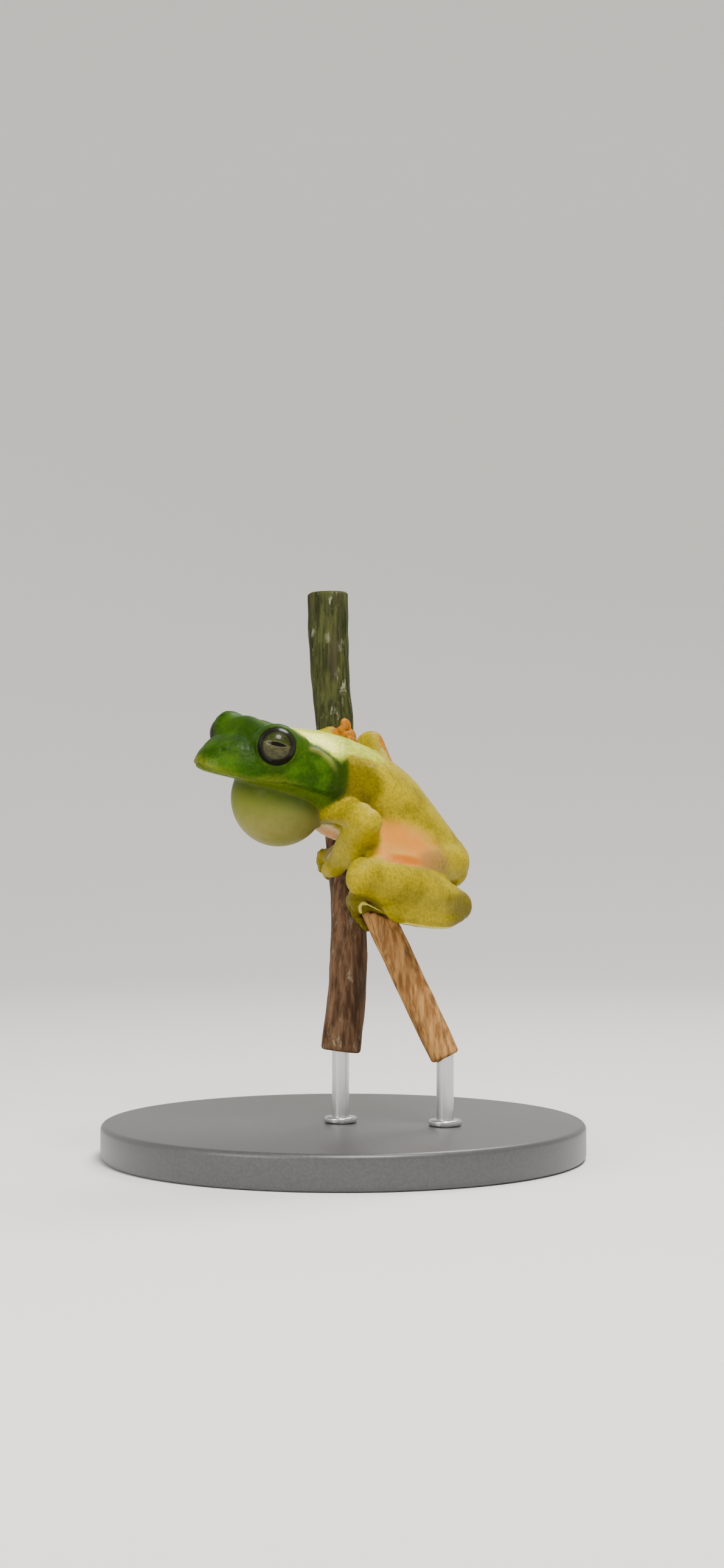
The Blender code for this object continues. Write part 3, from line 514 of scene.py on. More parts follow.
class Surface:
    """The melted skin as arrays: points in millimetres, four-sided faces and edges."""

    def __init__(self, forms, voxel):
        points, faces, count = [], [], 0
        for form_points, form_faces in forms:
            points.append(form_points)
            faces += [tuple(corner + count for corner in face) for face in form_faces]
            count += len(form_points)
        rough = mesh_object("rough_skin", np.vstack(points), faces)
        melt = rough.modifiers.new("melt", "REMESH")
        melt.mode = "VOXEL"
        melt.voxel_size = voxel * MM
        bpy.context.view_layer.update()
        mesh = rough.evaluated_get(bpy.context.evaluated_depsgraph_get()).to_mesh()
        self.points = read_rows(mesh.vertices, "co", np.float32, 3).astype(float) / MM
        self.faces = read_rows(mesh.loops, "vertex_index", np.int32, 1).reshape(-1, 4)
        self.edges = read_rows(mesh.edges, "vertices", np.int32, 2)
        bpy.data.objects.remove(rough)

    def mean(self, values):
        """The mean of each point's neighbours."""
        here, there = np.concatenate([self.edges, self.edges[:, ::-1]]).T
        totals = [np.bincount(here, column[there], len(values)) for column in values.T]
        return np.stack(totals, 1) / np.bincount(here, minlength=len(values))[:, None]

    def normals(self):
        corners = self.points[self.faces]
        across = np.cross(corners[:, 2] - corners[:, 0], corners[:, 3] - corners[:, 1])
        where = self.faces.ravel()
        spread = np.repeat(across, 4, axis=0)
        return unit(np.stack([np.bincount(where, column, len(self.points)) for column in spread.T], 1))

    def relax(self, rounds, weight, fill=False):
        """Evens the surface; with fill it only raises hollows, which rounds the creases between forms."""
        for turn in range(rounds):
            if fill and turn % 8 == 0:
                normals = self.normals()
            step = (self.mean(self.points) - self.points) * weight[:, None]
            if fill:
                step[np.sum(step * normals, 1) < 0] = 0.0
            self.points += step


def nearest(points, samples):
    """The number of the nearest sample to each point, and the distance to it."""
    samples = np.asarray(samples, np.float32)
    number = np.empty(len(points), int)
    distance = np.empty(len(points))
    for start in range(0, len(points), 20000):
        block = points[start:start + 20000].astype(np.float32)
        gap = ((block[:, None] - samples[None]) ** 2).sum(axis=2)
        number[start:start + 20000] = gap.argmin(axis=1)
        distance[start:start + 20000] = np.sqrt(gap.min(axis=1))
    return number, distance


def trunk_coordinates(points):
    """For each point: distance from the vent, angle up its side, depth, height and distance out.
    Depth is 1 on the bare trunk, and more outside it."""
    distances = np.linspace(0.2, 41.5, 200)
    centre, forward, _, _ = spine_frames(spine_read(distances))
    number, _ = nearest(points, centre)
    along = distances[number] + np.sum((points - centre[number]) * forward[number], 1)
    table = np.hstack([spine_read(distances), *spine_frames(spine_read(distances))])
    rows = np.stack([np.interp(along, distances, column) for column in table.T], 1)
    wide, above, below, square = rows[:, 3:7].T
    away = points - rows[:, 11:14]
    out = np.abs(np.sum(away * rows[:, 17:20], 1))
    rise = np.sum(away * rows[:, 20:23], 1)
    square = np.where(rise > 0, square, 2.0)
    tall = np.where(rise > 0, above, below)
    depth = ((out / wide) ** square + np.abs(rise / tall) ** square) ** (1 / square)
    return along, np.degrees(np.arctan2(rise, out)), depth, rise, out


def oval(x, z, patch):
    """1 inside a tilted oval in the picture's plane, falling to 0 past its edge."""
    middle_x, middle_z, long, short, tilt = patch
    turn = math.radians(tilt)
    across = ((x - middle_x) * math.cos(turn) + (z - middle_z) * math.sin(turn)) / long
    upward = ((z - middle_z) * math.cos(turn) - (x - middle_x) * math.sin(turn)) / short
    return ramp(np.hypot(across, upward), 1.25, 0.55)


def edge_paths():
    """The white skin edges: below the near shank, down the near foot and below the far tarsus."""
    paths = [np.array(SHANK_EDGE), np.array(FOOT_EDGE)]
    line, sizes = next(row[1:3] for row in limb_lines() if row[0] == "tarsus_right")
    where = np.linspace(0.0, 2.0, 9)
    thick = np.interp(where, range(3), sizes[1])[:, None]
    return paths + [smooth_rows(line, where) + np.array([0.35, 0.5, -0.8]) * thick]


def sheet_forms(first, second, first_radii, second_radii, layers=13):
    """Limbs laid side by side between two lines, which melt into one sheet of flesh."""
    forms = []
    for share in np.linspace(0.0, 1.0, layers):
        sizes = np.array(first_radii) * (1 - share) + np.array(second_radii) * share
        line = first * (1 - share) + second * share
        forms.append(limb_form(line, sizes, sizes, SHEET_FACING, 24, 20, 5))
    return forms


def brow_forms():
    """The flesh behind the eyes and the crown between them."""
    _, forward, left, up = head_frame(EYE_AT)
    forms, brows = [], []
    for side in (1, -1):
        place, _ = eye_of(side)
        brow = place - forward * 1.7 - left * side * 1.0 - up * 0.1
        forms.append(ball_form(brow, BROW_RADII, (forward, left, up)))
        brows.append(place - left * side * 1.0 + up * 0.45)
    middle = (brows[0] + brows[1]) / 2
    for back, drop in ((0.0, 0.35), (2.2, 0.6), (4.2, 1.0)):
        shift = -forward * back - up * drop
        line = [brows[0] + shift, middle + shift + up * 0.8,
                (middle + brows[1]) / 2 + shift + up * 0.85, brows[1] + shift]
        forms.append(limb_form(line, (2.3,) * 3, (2.1,) * 3, up, 24, 24, 5))
    return forms


def flank_forms():
    """The loose skin between the thighs and the flanks, and below the near shank."""
    forms = []
    for number, side in enumerate((1, -1)):
        thigh = np.array([np.add(HIPS[number], np.subtract(KNEES[number], HIPS[number]) * share)
                          for share in THIGH_SHARES[number]])
        thigh[:, 2] += THIGH_RISE[number]
        flank = np.array(trunk_line(FLANK_LINE, side))
        inward = unit(np.array([head_frame(spot[0])[0] for spot in FLANK_LINE]) - flank)
        forms += sheet_forms(thigh, flank + inward * 2.3, (2.2, 2.3, 2.2, 1.7), (1.7, 2.3, 2.3, 2.0))
        rump = np.array(HIPS[number]) + (-0.2, 0.5 * side, -1.1)
        forms.append(ball_form(rump, RUMP_RADII, np.eye(3)))
    shank = np.array(KNEES[0]) + np.outer((0.25, 0.35, 0.6, 0.8, 0.95), np.subtract(HEELS[0], KNEES[0]))
    skirt = np.array(SHANK_SKIRT)
    forms += sheet_forms(shank, skirt, (2.2, 2.5, 2.3, 1.9, 1.5), (1.0, 1.2, 1.2, 1.1, 1.0), 7)
    forms += sheet_forms(skirt[1:], np.array(SOLE_LINE), (0.9,) * 4, (0.9,) * 4, 9)
    return forms


def filling_lines():
    """Calves that bulge past the shanks and the skin from the throat to the near elbow, as limb lines."""
    lines = []
    for number, side in enumerate(("left", "right")):
        knee, heel = np.array(KNEES[number]), np.array(HEELS[number])
        outward = unit(np.cross(np.subtract(KNEES[number], HIPS[number]), heel - knee))
        calf = np.array([knee + outward * 0.3 + (0, 0, 0.5), (knee + heel) / 2 + outward * 0.8 + (0, 0, 0.85),
                         heel + outward * 0.1 + (0, 0, 0.4)])
        lines.append((f"calf_{side}", calf, ((2.35, 2.95, 2.9, 2.1), (2.1, 2.4, 2.3, 1.7)), outward))
    arm = np.array([(-4.4, -8.2, 48.9), (-1.0, -12.2, 48.8), (2.4, -15.6, 48.0)])
    lines.append(("fold_left", arm, ((1.9, 1.9, 1.9), (1.7, 1.8, 1.8)), (0.3, -0.9, 0.3)))
    wrist = np.array([(3.3, -15.4, 46.0), (1.9, -11.8, 43.2), (0.5, -8.8, 41.8)])
    lines.append(("forearm_left", wrist, ((1.8, 1.8, 1.3), (1.8, 1.7, 1.2)), (0.3, -0.9, 0.3)))
    for name, (points, sizes) in (("foot_left", FOOT_FILLING), ("hand_left", HAND_FILLING)):
        lines.append((name, np.array(points), (sizes, sizes), (0.0, -1.0, 0.0)))
    return lines


def sac_centre():
    centre, _, _, up = head_frame(SAC_AT)
    return centre - up * SAC_DROP


def skin_parts():
    """Every form that melts into the skin, and the centre lines of its limbs, digits and white edges."""
    forms = [trunk_form()] + brow_forms() + flank_forms()
    for side in (1, -1):
        forms.append(ball_form(eye_of(side)[0], (EYE_RADIUS + LID_THICKNESS,) * 3, head_frame(EYE_AT)[1:]))
        forms.append(ridge_form(trunk_line(EAR_FOLD, side), EAR_RIDGE))
    forms.append(ball_form(sac_centre(), SAC_RADIUS, head_frame(SAC_AT)[1:], 96, 55))
    lines = limb_lines() + filling_lines()
    forms += [limb_form(line, *sizes, facing) for _, line, sizes, facing in lines]
    digits = []
    for branches, joints, palm, grips, web in (
            ((STEM, STEM), WRISTS, HAND_PALM, (LEFT_HAND, RIGHT_HAND), HAND_WEB),
            ((STUB, STEM), ANKLES, FOOT_PALM, (LEFT_FOOT, RIGHT_FOOT), FOOT_WEB)):
        for far in (0, 1):
            made, paths = grip_forms(branches[far], joints[far], palm, *grips[far], web)
            forms += made
            digits += [(path, far) for path in paths]
    edges = edge_paths()
    forms += [ridge_form(path, EDGE_RIDGE) for path in edges]
    return forms, lines, digits, edges


def read_spots(paths, stop, count):
    """Evenly spaced places along some paths, as one array."""
    return np.vstack([smooth_rows(path, np.linspace(0, stop, count)) for path in paths])


def measure(skin, lines, digit_gap):
    """Notes where each point of the skin lies on the trunk, the limbs and the vocal sac."""
    along, lean, depth, rise, out = trunk_coordinates(skin.points)
    skin.along, skin.lean = along, lean
    limb_at, limb_gap = nearest(skin.points, read_spots([line for _, line, _, _ in lines], 2, LIMB_SPOTS))
    share = np.linspace(0, 1, LIMB_SPOTS)
    sizes = np.concatenate([np.interp(share, np.linspace(0, 1, len(sizes[0])), np.mean(sizes, axis=0))
                            for _, _, sizes, _ in lines])
    skin.limb_gap = limb_gap / sizes[limb_at]
    skin.limb_name = np.array([name for name, _, _, _ in lines])[limb_at // LIMB_SPOTS]
    skin.on_trunk = (ramp(skin.limb_gap - depth, -0.15, 0.25) * ramp(digit_gap, 1.0, 2.0)
                     * ramp(depth, 2.2, 1.8))
    skin.mouth_gap = rise - out * np.tan(np.radians(read_pairs(MOUTH, along)))
    skin.mouth = ramp(along, MOUTH_CORNER_AT - 0.6, MOUTH_CORNER_AT + 1.2) * skin.on_trunk
    skin.under = ramp(lean, -25.0, -60.0) * skin.on_trunk * ramp(along, 25.0, 22.0)
    sac_gap = np.linalg.norm(skin.points - sac_centre(), axis=1)
    skin.on_sac = (ramp(sac_gap, max(SAC_RADIUS) + 0.3, max(SAC_RADIUS))
                   * ramp(skin.mouth_gap, -0.15, -0.9))


def relief(skin, fine):
    """How far each point is raised by the lips, canthus, nostrils, folds and granules, or sunk if below 0."""
    along, lean, mouth = skin.along, skin.lean, skin.mouth
    lift = -0.20 * bell(skin.mouth_gap, 0.16) * mouth * (0.3 + 0.7 * ramp(along, 28.0, 33.0))
    lift += 0.08 * bell(skin.mouth_gap - 0.5, 0.35) * mouth
    muzzle = ramp(along, 34.5, 36.5) * ramp(along, 41.0, 39.5) * skin.on_trunk
    lift += 0.14 * bell(lean - 54.0, 9.0) * muzzle
    lift -= 0.20 * bell(lean - 27.0, 15.0) * muzzle
    for side in (1, -1):
        gap = np.linalg.norm(skin.points - trunk_place(NOSTRIL_AT, NOSTRIL_ANGLE, side), axis=1)
        lift += 0.05 * bell(gap - 0.5, 0.22) - 0.36 * bell(gap, 0.26)
    for path, depth in ((BACK_FOLD, 0.13), (SIDE_FOLD, 0.07)):
        for side in (1, -1):
            line = trunk_line(path, side)
            gap = nearest(skin.points, read_spots([line], len(path) - 1, 60))[1]
            profile = 0.7 * bell(gap - 2.0 * FOLD_WIDTH, FOLD_WIDTH) - bell(gap, FOLD_WIDTH)
            lift += profile * depth * skin.on_trunk
    coarse, grain = (np.array([noise.noise(Vector(point) * scale) for point in skin.points])
                     for scale in (0.55, 1.9))
    uneven = 0.05 * coarse + (0.03 + 0.07 * skin.under) * grain
    return lift + uneven * fine * (1.0 - 0.85 * skin.on_sac)


# Its share paints shade into the skin's hollows and creases.
def creases(skin):
    """1 where a point lies in a hollow of the surface."""
    smoothed = skin.points
    for _ in range(12):
        smoothed = skin.mean(smoothed)
    return ramp(np.sum((smoothed - skin.points) * skin.normals(), 1), 0.015, 0.11)


def open_lids(skin):
    """Draws the skin back around the eyeballs, and notes the rims of the lids, which are painted near black:
    partly the lid's dark edge, partly painted shade in the eye's opening.
    """
    skin.rim = np.zeros(len(skin.points))
    inner = EYE_RADIUS - 0.7
    for side, droop in ((1, 0.0), (-1, FAR_LID_DROOP)):
        place, gaze = eye_of(side)
        gaze = unit(gaze - np.array([0.0, 0.0, droop]))
        away = skin.points - place
        reach = np.linalg.norm(away, axis=1)
        theta = np.degrees(np.arccos(np.clip(away @ gaze / reach, -1.0, 1.0)))
        near = (reach < EYE_RADIUS + 2.2) & (theta < LID_OPENING + 45.0)
        edge = ramp(theta, LID_OPENING - 4.0, LID_OPENING + 4.0)
        thin = 0.8 * ramp(theta, LID_OPENING + 26.0, LID_OPENING + 3.0)
        lidded = reach + (EYE_RADIUS + LID_RIM - reach) * thin
        share = ramp(reach, EYE_RADIUS + 2.0, EYE_RADIUS + 1.2)
        wanted = reach + (inner + (lidded - inner) * edge - reach) * share
        skin.points[near] = (place + away / reach[:, None] * wanted[:, None])[near]
        rim = share * ramp(theta, LID_OPENING + 2.5, LID_OPENING + 0.5)
        skin.rim[near] = np.maximum(skin.rim, rim)[near]


def skin_zones(skin, normals, digit_gap, far_digit, edge_gap):
    """Each point's share in the zones of the skin's look; above 1 counts as 1."""
    along, lean, on_trunk, mouth_gap = skin.along, skin.lean, skin.on_trunk, skin.mouth_gap
    x, y, z = skin.points.T
    ear = nearest(skin.points, read_spots([trunk_line(EAR_FOLD, side) for side in (1, -1)], 5, 80))[1]
    above = lean - read_pairs(LIGHT_FROM, along)
    not_sac = 1.0 - skin.on_sac
    near_side = ramp(y, 1.0, -1.0)
    is_limb = np.isin(skin.limb_name, ("forearm_left", "upper_arm_left", "shank_left", "calf_left",
                                       "tarsus_left"))
    bare = near_side * (1.0 - is_limb * ramp(skin.limb_gap, 1.45, 1.2))
    far_leg = np.isin(skin.limb_name, ("thigh_right", "shank_right", "calf_right")) * (1.0 - on_trunk)
    far_leg = far_leg * ramp(normals[:, 2] - normals[:, 0], 0.7, -0.3)
    hand = ramp(digit_gap, 1.5, 0.8) * (0.15 + 0.8 * far_digit)
    far_flank = (1 - near_side) * on_trunk * bell(along - 9.3, 4.6) * bell(lean + 30.0, 30.0)
    chest = (on_trunk * bell(along - 21.0, 3.2) * ramp(lean, -38.0, -60.0)
             * ramp(skin.limb_gap, 1.1, 1.4))
    # Painted shade: darker patches behind the head and on the shoulder, and on the near foot and heel below
    # the shank.
    shoulder_shade = on_trunk * (bell(along - 20.3, 3.3) * bell(lean - 14.0, 27.0)
                           + bell(along - 24.3, 2.0) * bell(lean - 8.0, 24.0))
    foot = ramp(np.hypot(x - 2.5, z - 34.5), 4.0, 2.5) * near_side
    heel = ramp(x, 12.0, 16.5) * ramp(z, 38.5, 36.5) * near_side
    from_sac = skin.points - sac_centre()
    return {
        "green": ramp(along - read_pairs(GREEN_FROM, lean), -0.8, 1.0) * on_trunk * not_sac,
        "sac": skin.on_sac,
        # The white edges of the limbs are the frog's own; the faint pale line along the ear fold is a painted
        # highlight.
        "pale": ramp(edge_gap, 0.24, 0.11) + 0.3 * bell(ear, 0.36) * on_trunk * ramp(along, 24.6, 26.6),
        "lip": skin.mouth * ramp(along, 28.0, 36.0)
               * ramp(mouth_gap, 1.3 + 0.6 * ramp(along, 38.0, 41.0), 0.2),
        "throat": ramp(mouth_gap, 0.05, -0.5) * on_trunk * ramp(along, 22.5, 25.5) * not_sac,
        "flush": bare * oval(x, z, FLANK_PATCH) + far_flank + chest,
        "ember": bare * oval(x, z, FLANK_GLOW),
        "lilac": bare * oval(x, z, FLANK_SHADE),
        "warm": far_leg * 0.8 + hand,
        # Painted shade in the hollows and creases.
        "hollow": skin.hollow,
        "belly": skin.under,
        # Painted shade on the shoulder, the near foot and the heel.
        "painted_shade": shoulder_shade + 0.75 * (foot + heel),
        # The lid rims: partly their dark edge, partly painted shade.
        "rim": skin.rim,
        # Partly painted light: the top of the back painted paler, as if lit from above.
        "back": on_trunk * ramp(above, 0.0, 12.0) * ramp(along, 32.5, 30.0)
                * ramp(along, 14.0, 20.0),
        # Painted highlight: a near-white yellow glare on the top of the neck behind the eye.
        "painted_neck_glare": on_trunk * ramp(above, 1.0, 16.0) * ramp(lean, 92.0, 62.0)
                * ramp(along, 32.5, 29.5) * ramp(along, 21.5, 26.5) * near_side,
        # Painted shade: the top of the head, between and before the eyes, darkened.
        "crown": on_trunk * ramp(lean, 20.0, 42.0) * ramp(along, 30.0, 32.0),
        "low": ramp(from_sac[:, 2] / SAC_RADIUS[2], 0.1, -0.75),
        # Painted shadow: the top of the vocal sac, just below the jaw, darkened.
        "painted_jaw_shadow": ramp(mouth_gap, -4.2, -0.8),
        "front": ramp(from_sac @ head_frame(SAC_AT)[1] / SAC_RADIUS[0], -0.1, 0.9),
    }


def make_skin():
    forms, lines, digits, edges = skin_parts()
    skin = Surface(forms, SKIN_VOXEL)
    digit_at, digit_gap = nearest(skin.points, read_spots([path for path, _ in digits], 5, DIGIT_SPOTS))
    far_digit = np.array([far for _, far in digits])[digit_at // DIGIT_SPOTS]
    edge_gap = nearest(skin.points, read_spots(edges, 8, EDGE_SPOTS))[1]
    fine = ramp(digit_gap, 0.8, 2.4) * (0.25 + 0.75 * ramp(edge_gap, 0.3, 0.9))
    skin.relax(FILLING_ROUNDS, 0.5 * fine, fill=True)
    skin.relax(EVENING_ROUNDS, np.full(len(skin.points), 0.35))
    measure(skin, lines, digit_gap)
    skin.points += skin.normals() * relief(skin, fine)[:, None]
    normals = skin.normals()
    skin.hollow = creases(skin)
    open_lids(skin)
    made = mesh_object("skin", skin.points, skin.faces.tolist())
    for name, values in skin_zones(skin, normals, digit_gap, far_digit, edge_gap).items():
        add_values(made, name, np.minimum(values, 1.0))
    return made


class Look:
    """A procedural material and short calls for the nodes that repeat."""

    def __init__(self, name, **settings):
        self.material = bpy.data.materials.new(name)
        self.material.use_nodes = True
        self.tree = self.material.node_tree
        self.shader = self.tree.nodes["Principled BSDF"]
        for socket, value in settings.items():
            self.shader.inputs[socket.replace("_", " ")].default_value = value
        self.place = self.node("ShaderNodeTexCoord").outputs["Object"]

    def node(self, kind, **settings):
        made = self.tree.nodes.new(kind)
        for name, value in settings.items():
            setattr(made, name, value)
        return made

    def feed(self, socket, value):
        """Gives a socket a number or a colour, or joins it to another node's output."""
        if isinstance(value, bpy.types.NodeSocket):
            self.tree.links.new(value, socket)
        else:
            socket.default_value = (*value, 1.0) if isinstance(value, tuple) else value

    def zone(self, name, share=1.0):
        """One of the shares kept in the mesh, made weaker where that is asked for."""
        whole = self.node("ShaderNodeAttribute", attribute_name=name).outputs["Fac"]
        return whole if share == 1.0 else self.times(whole, share)

    def axes(self):
        split = self.node("ShaderNodeSeparateXYZ")
        self.feed(split.inputs["Vector"], self.place)
        return split.outputs

    def texture(self, kind, scale, stretch=(1.0, 1.0, 1.0), **settings):
        """A texture with this many cells to a millimetre."""
        mapping = self.node("ShaderNodeMapping")
        mapping.inputs["Scale"].default_value = [scale / MM * part for part in stretch]
        self.feed(mapping.inputs["Vector"], self.place)
        made = self.node(kind, **settings)
        made.inputs["Scale"].default_value = 1.0
        self.feed(made.inputs["Vector"], mapping.outputs["Vector"])
        return made

    def noise(self, scale, detail=3.0, roughness=0.55, stretch=(1.0, 1.0, 1.0)):
        made = self.texture("ShaderNodeTexNoise", scale, stretch)
        made.inputs["Detail"].default_value = detail
        made.inputs["Roughness"].default_value = roughness
        return made.outputs["Fac"]

    def cells(self, scale, kind="F1"):
        return self.texture("ShaderNodeTexVoronoi", scale, feature=kind).outputs["Distance"]

    def math(self, operation, first, second=0.0):
        made = self.node("ShaderNodeMath", operation=operation)
        self.feed(made.inputs[0], first)
        self.feed(made.inputs[1], second)
        return made.outputs["Value"]

    def times(self, first, second):
        return self.math("MULTIPLY", first, second)

    def band(self, source, low, high):
        """0 where the source is at low, 1 where it is at high."""
        made = self.node("ShaderNodeMapRange", interpolation_type="SMOOTHSTEP")
        ends = (min(low, high), max(low, high), float(low > high), float(low <= high))
        for name, value in zip(("From Min", "From Max", "To Min", "To Max"), ends):
            made.inputs[name].default_value = value
        self.feed(made.inputs["Value"], source)
        return made.outputs["Result"]

    def mix(self, share, first, second, kind="MIX"):
        made = self.node("ShaderNodeMix", data_type="RGBA", blend_type=kind)
        for number, value in ((0, share), (6, first), (7, second)):
            self.feed(made.inputs[number], value)
        return made.outputs[2]

    def blend(self, source, low, high, first, second):
        """One colour where the source is at low and another where it is at high."""
        return self.mix(self.band(source, low, high), first, second)

    def layers(self, base, rows):
        """Lays colours over a base: each row has a share, a colour and perhaps a way to mix it."""
        for share, *colour in rows:
            base = self.mix(share, base, *colour)
        return base

    def colour(self, source):
        self.feed(self.shader.inputs["Base Color"], source)

    def bump(self, height, distance, strength):
        made = self.node("ShaderNodeBump")
        made.inputs["Distance"].default_value = distance * MM
        made.inputs["Strength"].default_value = strength
        self.feed(made.inputs["Height"], height)
        self.feed(self.shader.inputs["Normal"], made.outputs["Normal"])


def skin_look():
    look = Look("wet_skin", Roughness=0.5, Specular_IOR_Level=0.07, Coat_Weight=0.045, Coat_Roughness=0.16,
                Subsurface_Weight=0.08, Subsurface_Scale=0.0010)
    look.shader.inputs["Subsurface Radius"].default_value = (1.0, 0.62, 0.20)
    drift = look.noise(0.22, 3.0)
    patch = look.noise(0.9, 4.0, 0.65)

    def soft(name, amount=0.35):
        """A zone's share with its edge broken up by the skin's patches."""
        shift = look.times(look.math("SUBTRACT", patch, 0.5), amount)
        return look.band(look.math("ADD", look.zone(name), shift), 0.2, 0.8)

    yellow = look.blend(drift, 0.30, 0.60, (0.21, 0.163, 0.0), (0.34, 0.262, 0.0))
    # The head's green, darkened: partly its own colour, partly painted shade.
    green = look.blend(drift, 0.35, 0.65, (0.016, 0.050, 0.0), (0.042, 0.100, 0.0))
    # The back's paler colour: partly its own, partly painted light from above.
    light = look.blend(patch, 0.4, 0.65, (0.30, 0.40, 0.0), (0.52, 0.56, 0.01))
    orange = look.blend(patch, 0.35, 0.7, (0.27, 0.088, 0.0), (0.38, 0.145, 0.0))
    pink = look.blend(drift, 0.35, 0.65, (0.58, 0.19, 0.020), (0.52, 0.22, 0.045))
    cream = look.blend(patch, 0.35, 0.7, (0.60, 0.50, 0.22), (0.74, 0.62, 0.40))
    shade = look.mix(look.zone("green"), (0.095, 0.074, 0.0), (0.012, 0.030, 0.0))
    crease_shade = look.mix(look.zone("green"), (0.10, 0.045, 0.004), (0.016, 0.026, 0.001))
    balloon = look.layers(look.mix(look.zone("front"), (0.062, 0.092, 0.012), (0.115, 0.138, 0.012)), (
        (look.zone("low"), (0.21, 0.19, 0.045)),
        # Painted shadow of the jaw on the sac's top.
        (look.zone("painted_jaw_shadow", 0.8), (0.018, 0.040, 0.002)),
        (look.times(look.band(patch, 0.4, 0.7), 0.25), (0.09, 0.11, 0.012))))
    dots = look.times(look.band(look.cells(3.0), 0.36, 0.14), look.band(look.noise(1.6, 2.0), 0.40, 0.56))
    bare = look.math("MAXIMUM", look.zone("sac"), look.zone("pale"))
    plain = look.math("SUBTRACT", 1.0, look.math("MAXIMUM", bare, look.zone("flush")))
    mottle = look.blend(look.noise(2.4, 4.0, 0.7), 0.36, 0.6, (0.42, 0.42, 0.3), (1.12, 1.1, 1.0))
    look.colour(look.layers(yellow, (
        # The paler top of the back, laid on the yellow and then on the green: partly painted light.
        (look.times(soft("back"), 0.75), light),
        (soft("green", 0.5), green),
        (look.times(soft("back"), look.zone("green")), light),
        # Painted highlight: the glare on the neck.
        (look.zone("painted_neck_glare", 0.9), (0.93, 0.95, 0.22)),
        # Painted shade: the crown multiplied darker.
        (look.zone("crown", 0.8), (0.50, 0.60, 0.50), "MULTIPLY"),
        (look.zone("lip", 0.7), (0.13, 0.15, 0.008)),
        (look.zone("throat"), (0.065, 0.11, 0.0)),
        # Painted shade on the shoulder, the near foot and the heel.
        (look.times(soft("painted_shade"), 0.85), shade),
        (soft("warm", 0.2), orange),
        (soft("belly"), cream),
        (look.zone("flush", 0.85), pink),
        (look.zone("lilac", 0.7), (0.22, 0.125, 0.04)),
        (look.zone("ember", 0.95), (0.42, 0.115, 0.0)),
        (look.zone("sac"), balloon),
        (look.times(look.times(dots, plain), 0.35), (0.05, 0.042, 0.003)),
        (look.times(plain, 0.48), mottle, "MULTIPLY"),
        # Painted shade in the hollows and creases.
        (look.zone("hollow", 0.65), crease_shade),
        (look.zone("pale"), (0.58, 0.50, 0.12)),
        # The lid rims near black: partly their dark edge, partly painted shade.
        (look.zone("rim"), (0.008, 0.009, 0.004)))))
    fine = look.noise(5.0, 3.0, 0.6)
    pores = look.math("ADD", look.times(look.cells(4.2, "SMOOTH_F1"), 0.6), look.times(fine, 0.5))
    look.bump(look.times(pores, look.math("SUBTRACT", 1.0, look.zone("sac", 0.85))), 0.07, 0.6)
    return look.material


def eye_look():
    """The iris and pupil, painted in the eyeball's own frame: Z along the gaze, X along the pupil's slit."""
    look = Look("eye", Roughness=0.35, Specular_IOR_Level=0.06, Coat_Weight=0.16, Coat_Roughness=0.04)
    places = look.axes()
    x, y, z = (look.math("DIVIDE", places[axis], EYE_RADIUS * MM) for axis in ("X", "Y", "Z"))
    flat = look.math("SQRT", look.math("ADD", look.times(x, x), look.times(y, y)))
    streak = look.noise(2.6, 4.0, 0.7, (0.35, 1.0, 1.0))
    below = look.blend(streak, 0.3, 0.7, (0.020, 0.020, 0.007), (0.064, 0.062, 0.026))
    # The upper iris is darker: partly its olive colour, partly painted shade from the upper lid.
    above = look.blend(streak, 0.3, 0.7, (0.012, 0.017, 0.002), (0.028, 0.037, 0.006))
    vein = look.band(look.noise(1.6, 5.0, 0.75), 0.52, 0.58)
    slit = look.math("ADD", *(
        look.math("POWER", look.math("ABSOLUTE", look.math("DIVIDE", part, half)), 1.6)
        for part, half in ((x, 0.47), (look.math("SUBTRACT", y, 0.07), 0.105))))
    look.colour(look.layers(look.blend(y, 0.0, 0.16, below, above), (
        (look.times(vein, 0.35), (0.05, 0.045, 0.02)),
        # The dark outer ring: partly the eyeball's dark edge, partly painted shade under the lids.
        (look.band(flat, 0.60, 0.74), (0.006, 0.005, 0.003)),
        (look.times(look.band(slit, 2.4, 1.2), 0.4), (0.12, 0.11, 0.045)),
        (look.band(slit, 1.15, 0.95), (0.002, 0.002, 0.002)),
        (look.band(z, 0.15, 0.0), (0.01, 0.01, 0.008)))))
    return look.material


def make_eyes():
    look = eye_look()
    for side, name in ((1, "left"), (-1, "right")):
        place, gaze = eye_of(side)
        up = head_frame(EYE_AT)[3]
        upright = unit(up - gaze * (up @ gaze))
        points, faces = ball_form(np.zeros(3), (EYE_RADIUS,) * 3, np.eye(3), 96, 63)
        eye = mesh_object(f"eyeball_{name}", points, faces)
        turn = Matrix(np.stack([np.cross(upright, gaze), upright, gaze], 1).tolist()).to_4x4()
        eye.matrix_world = Matrix.Translation(Vector(place * MM)) @ turn
        eye.data.materials.append(look)
        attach(eye, "root")
        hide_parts(f"eye_{name}")


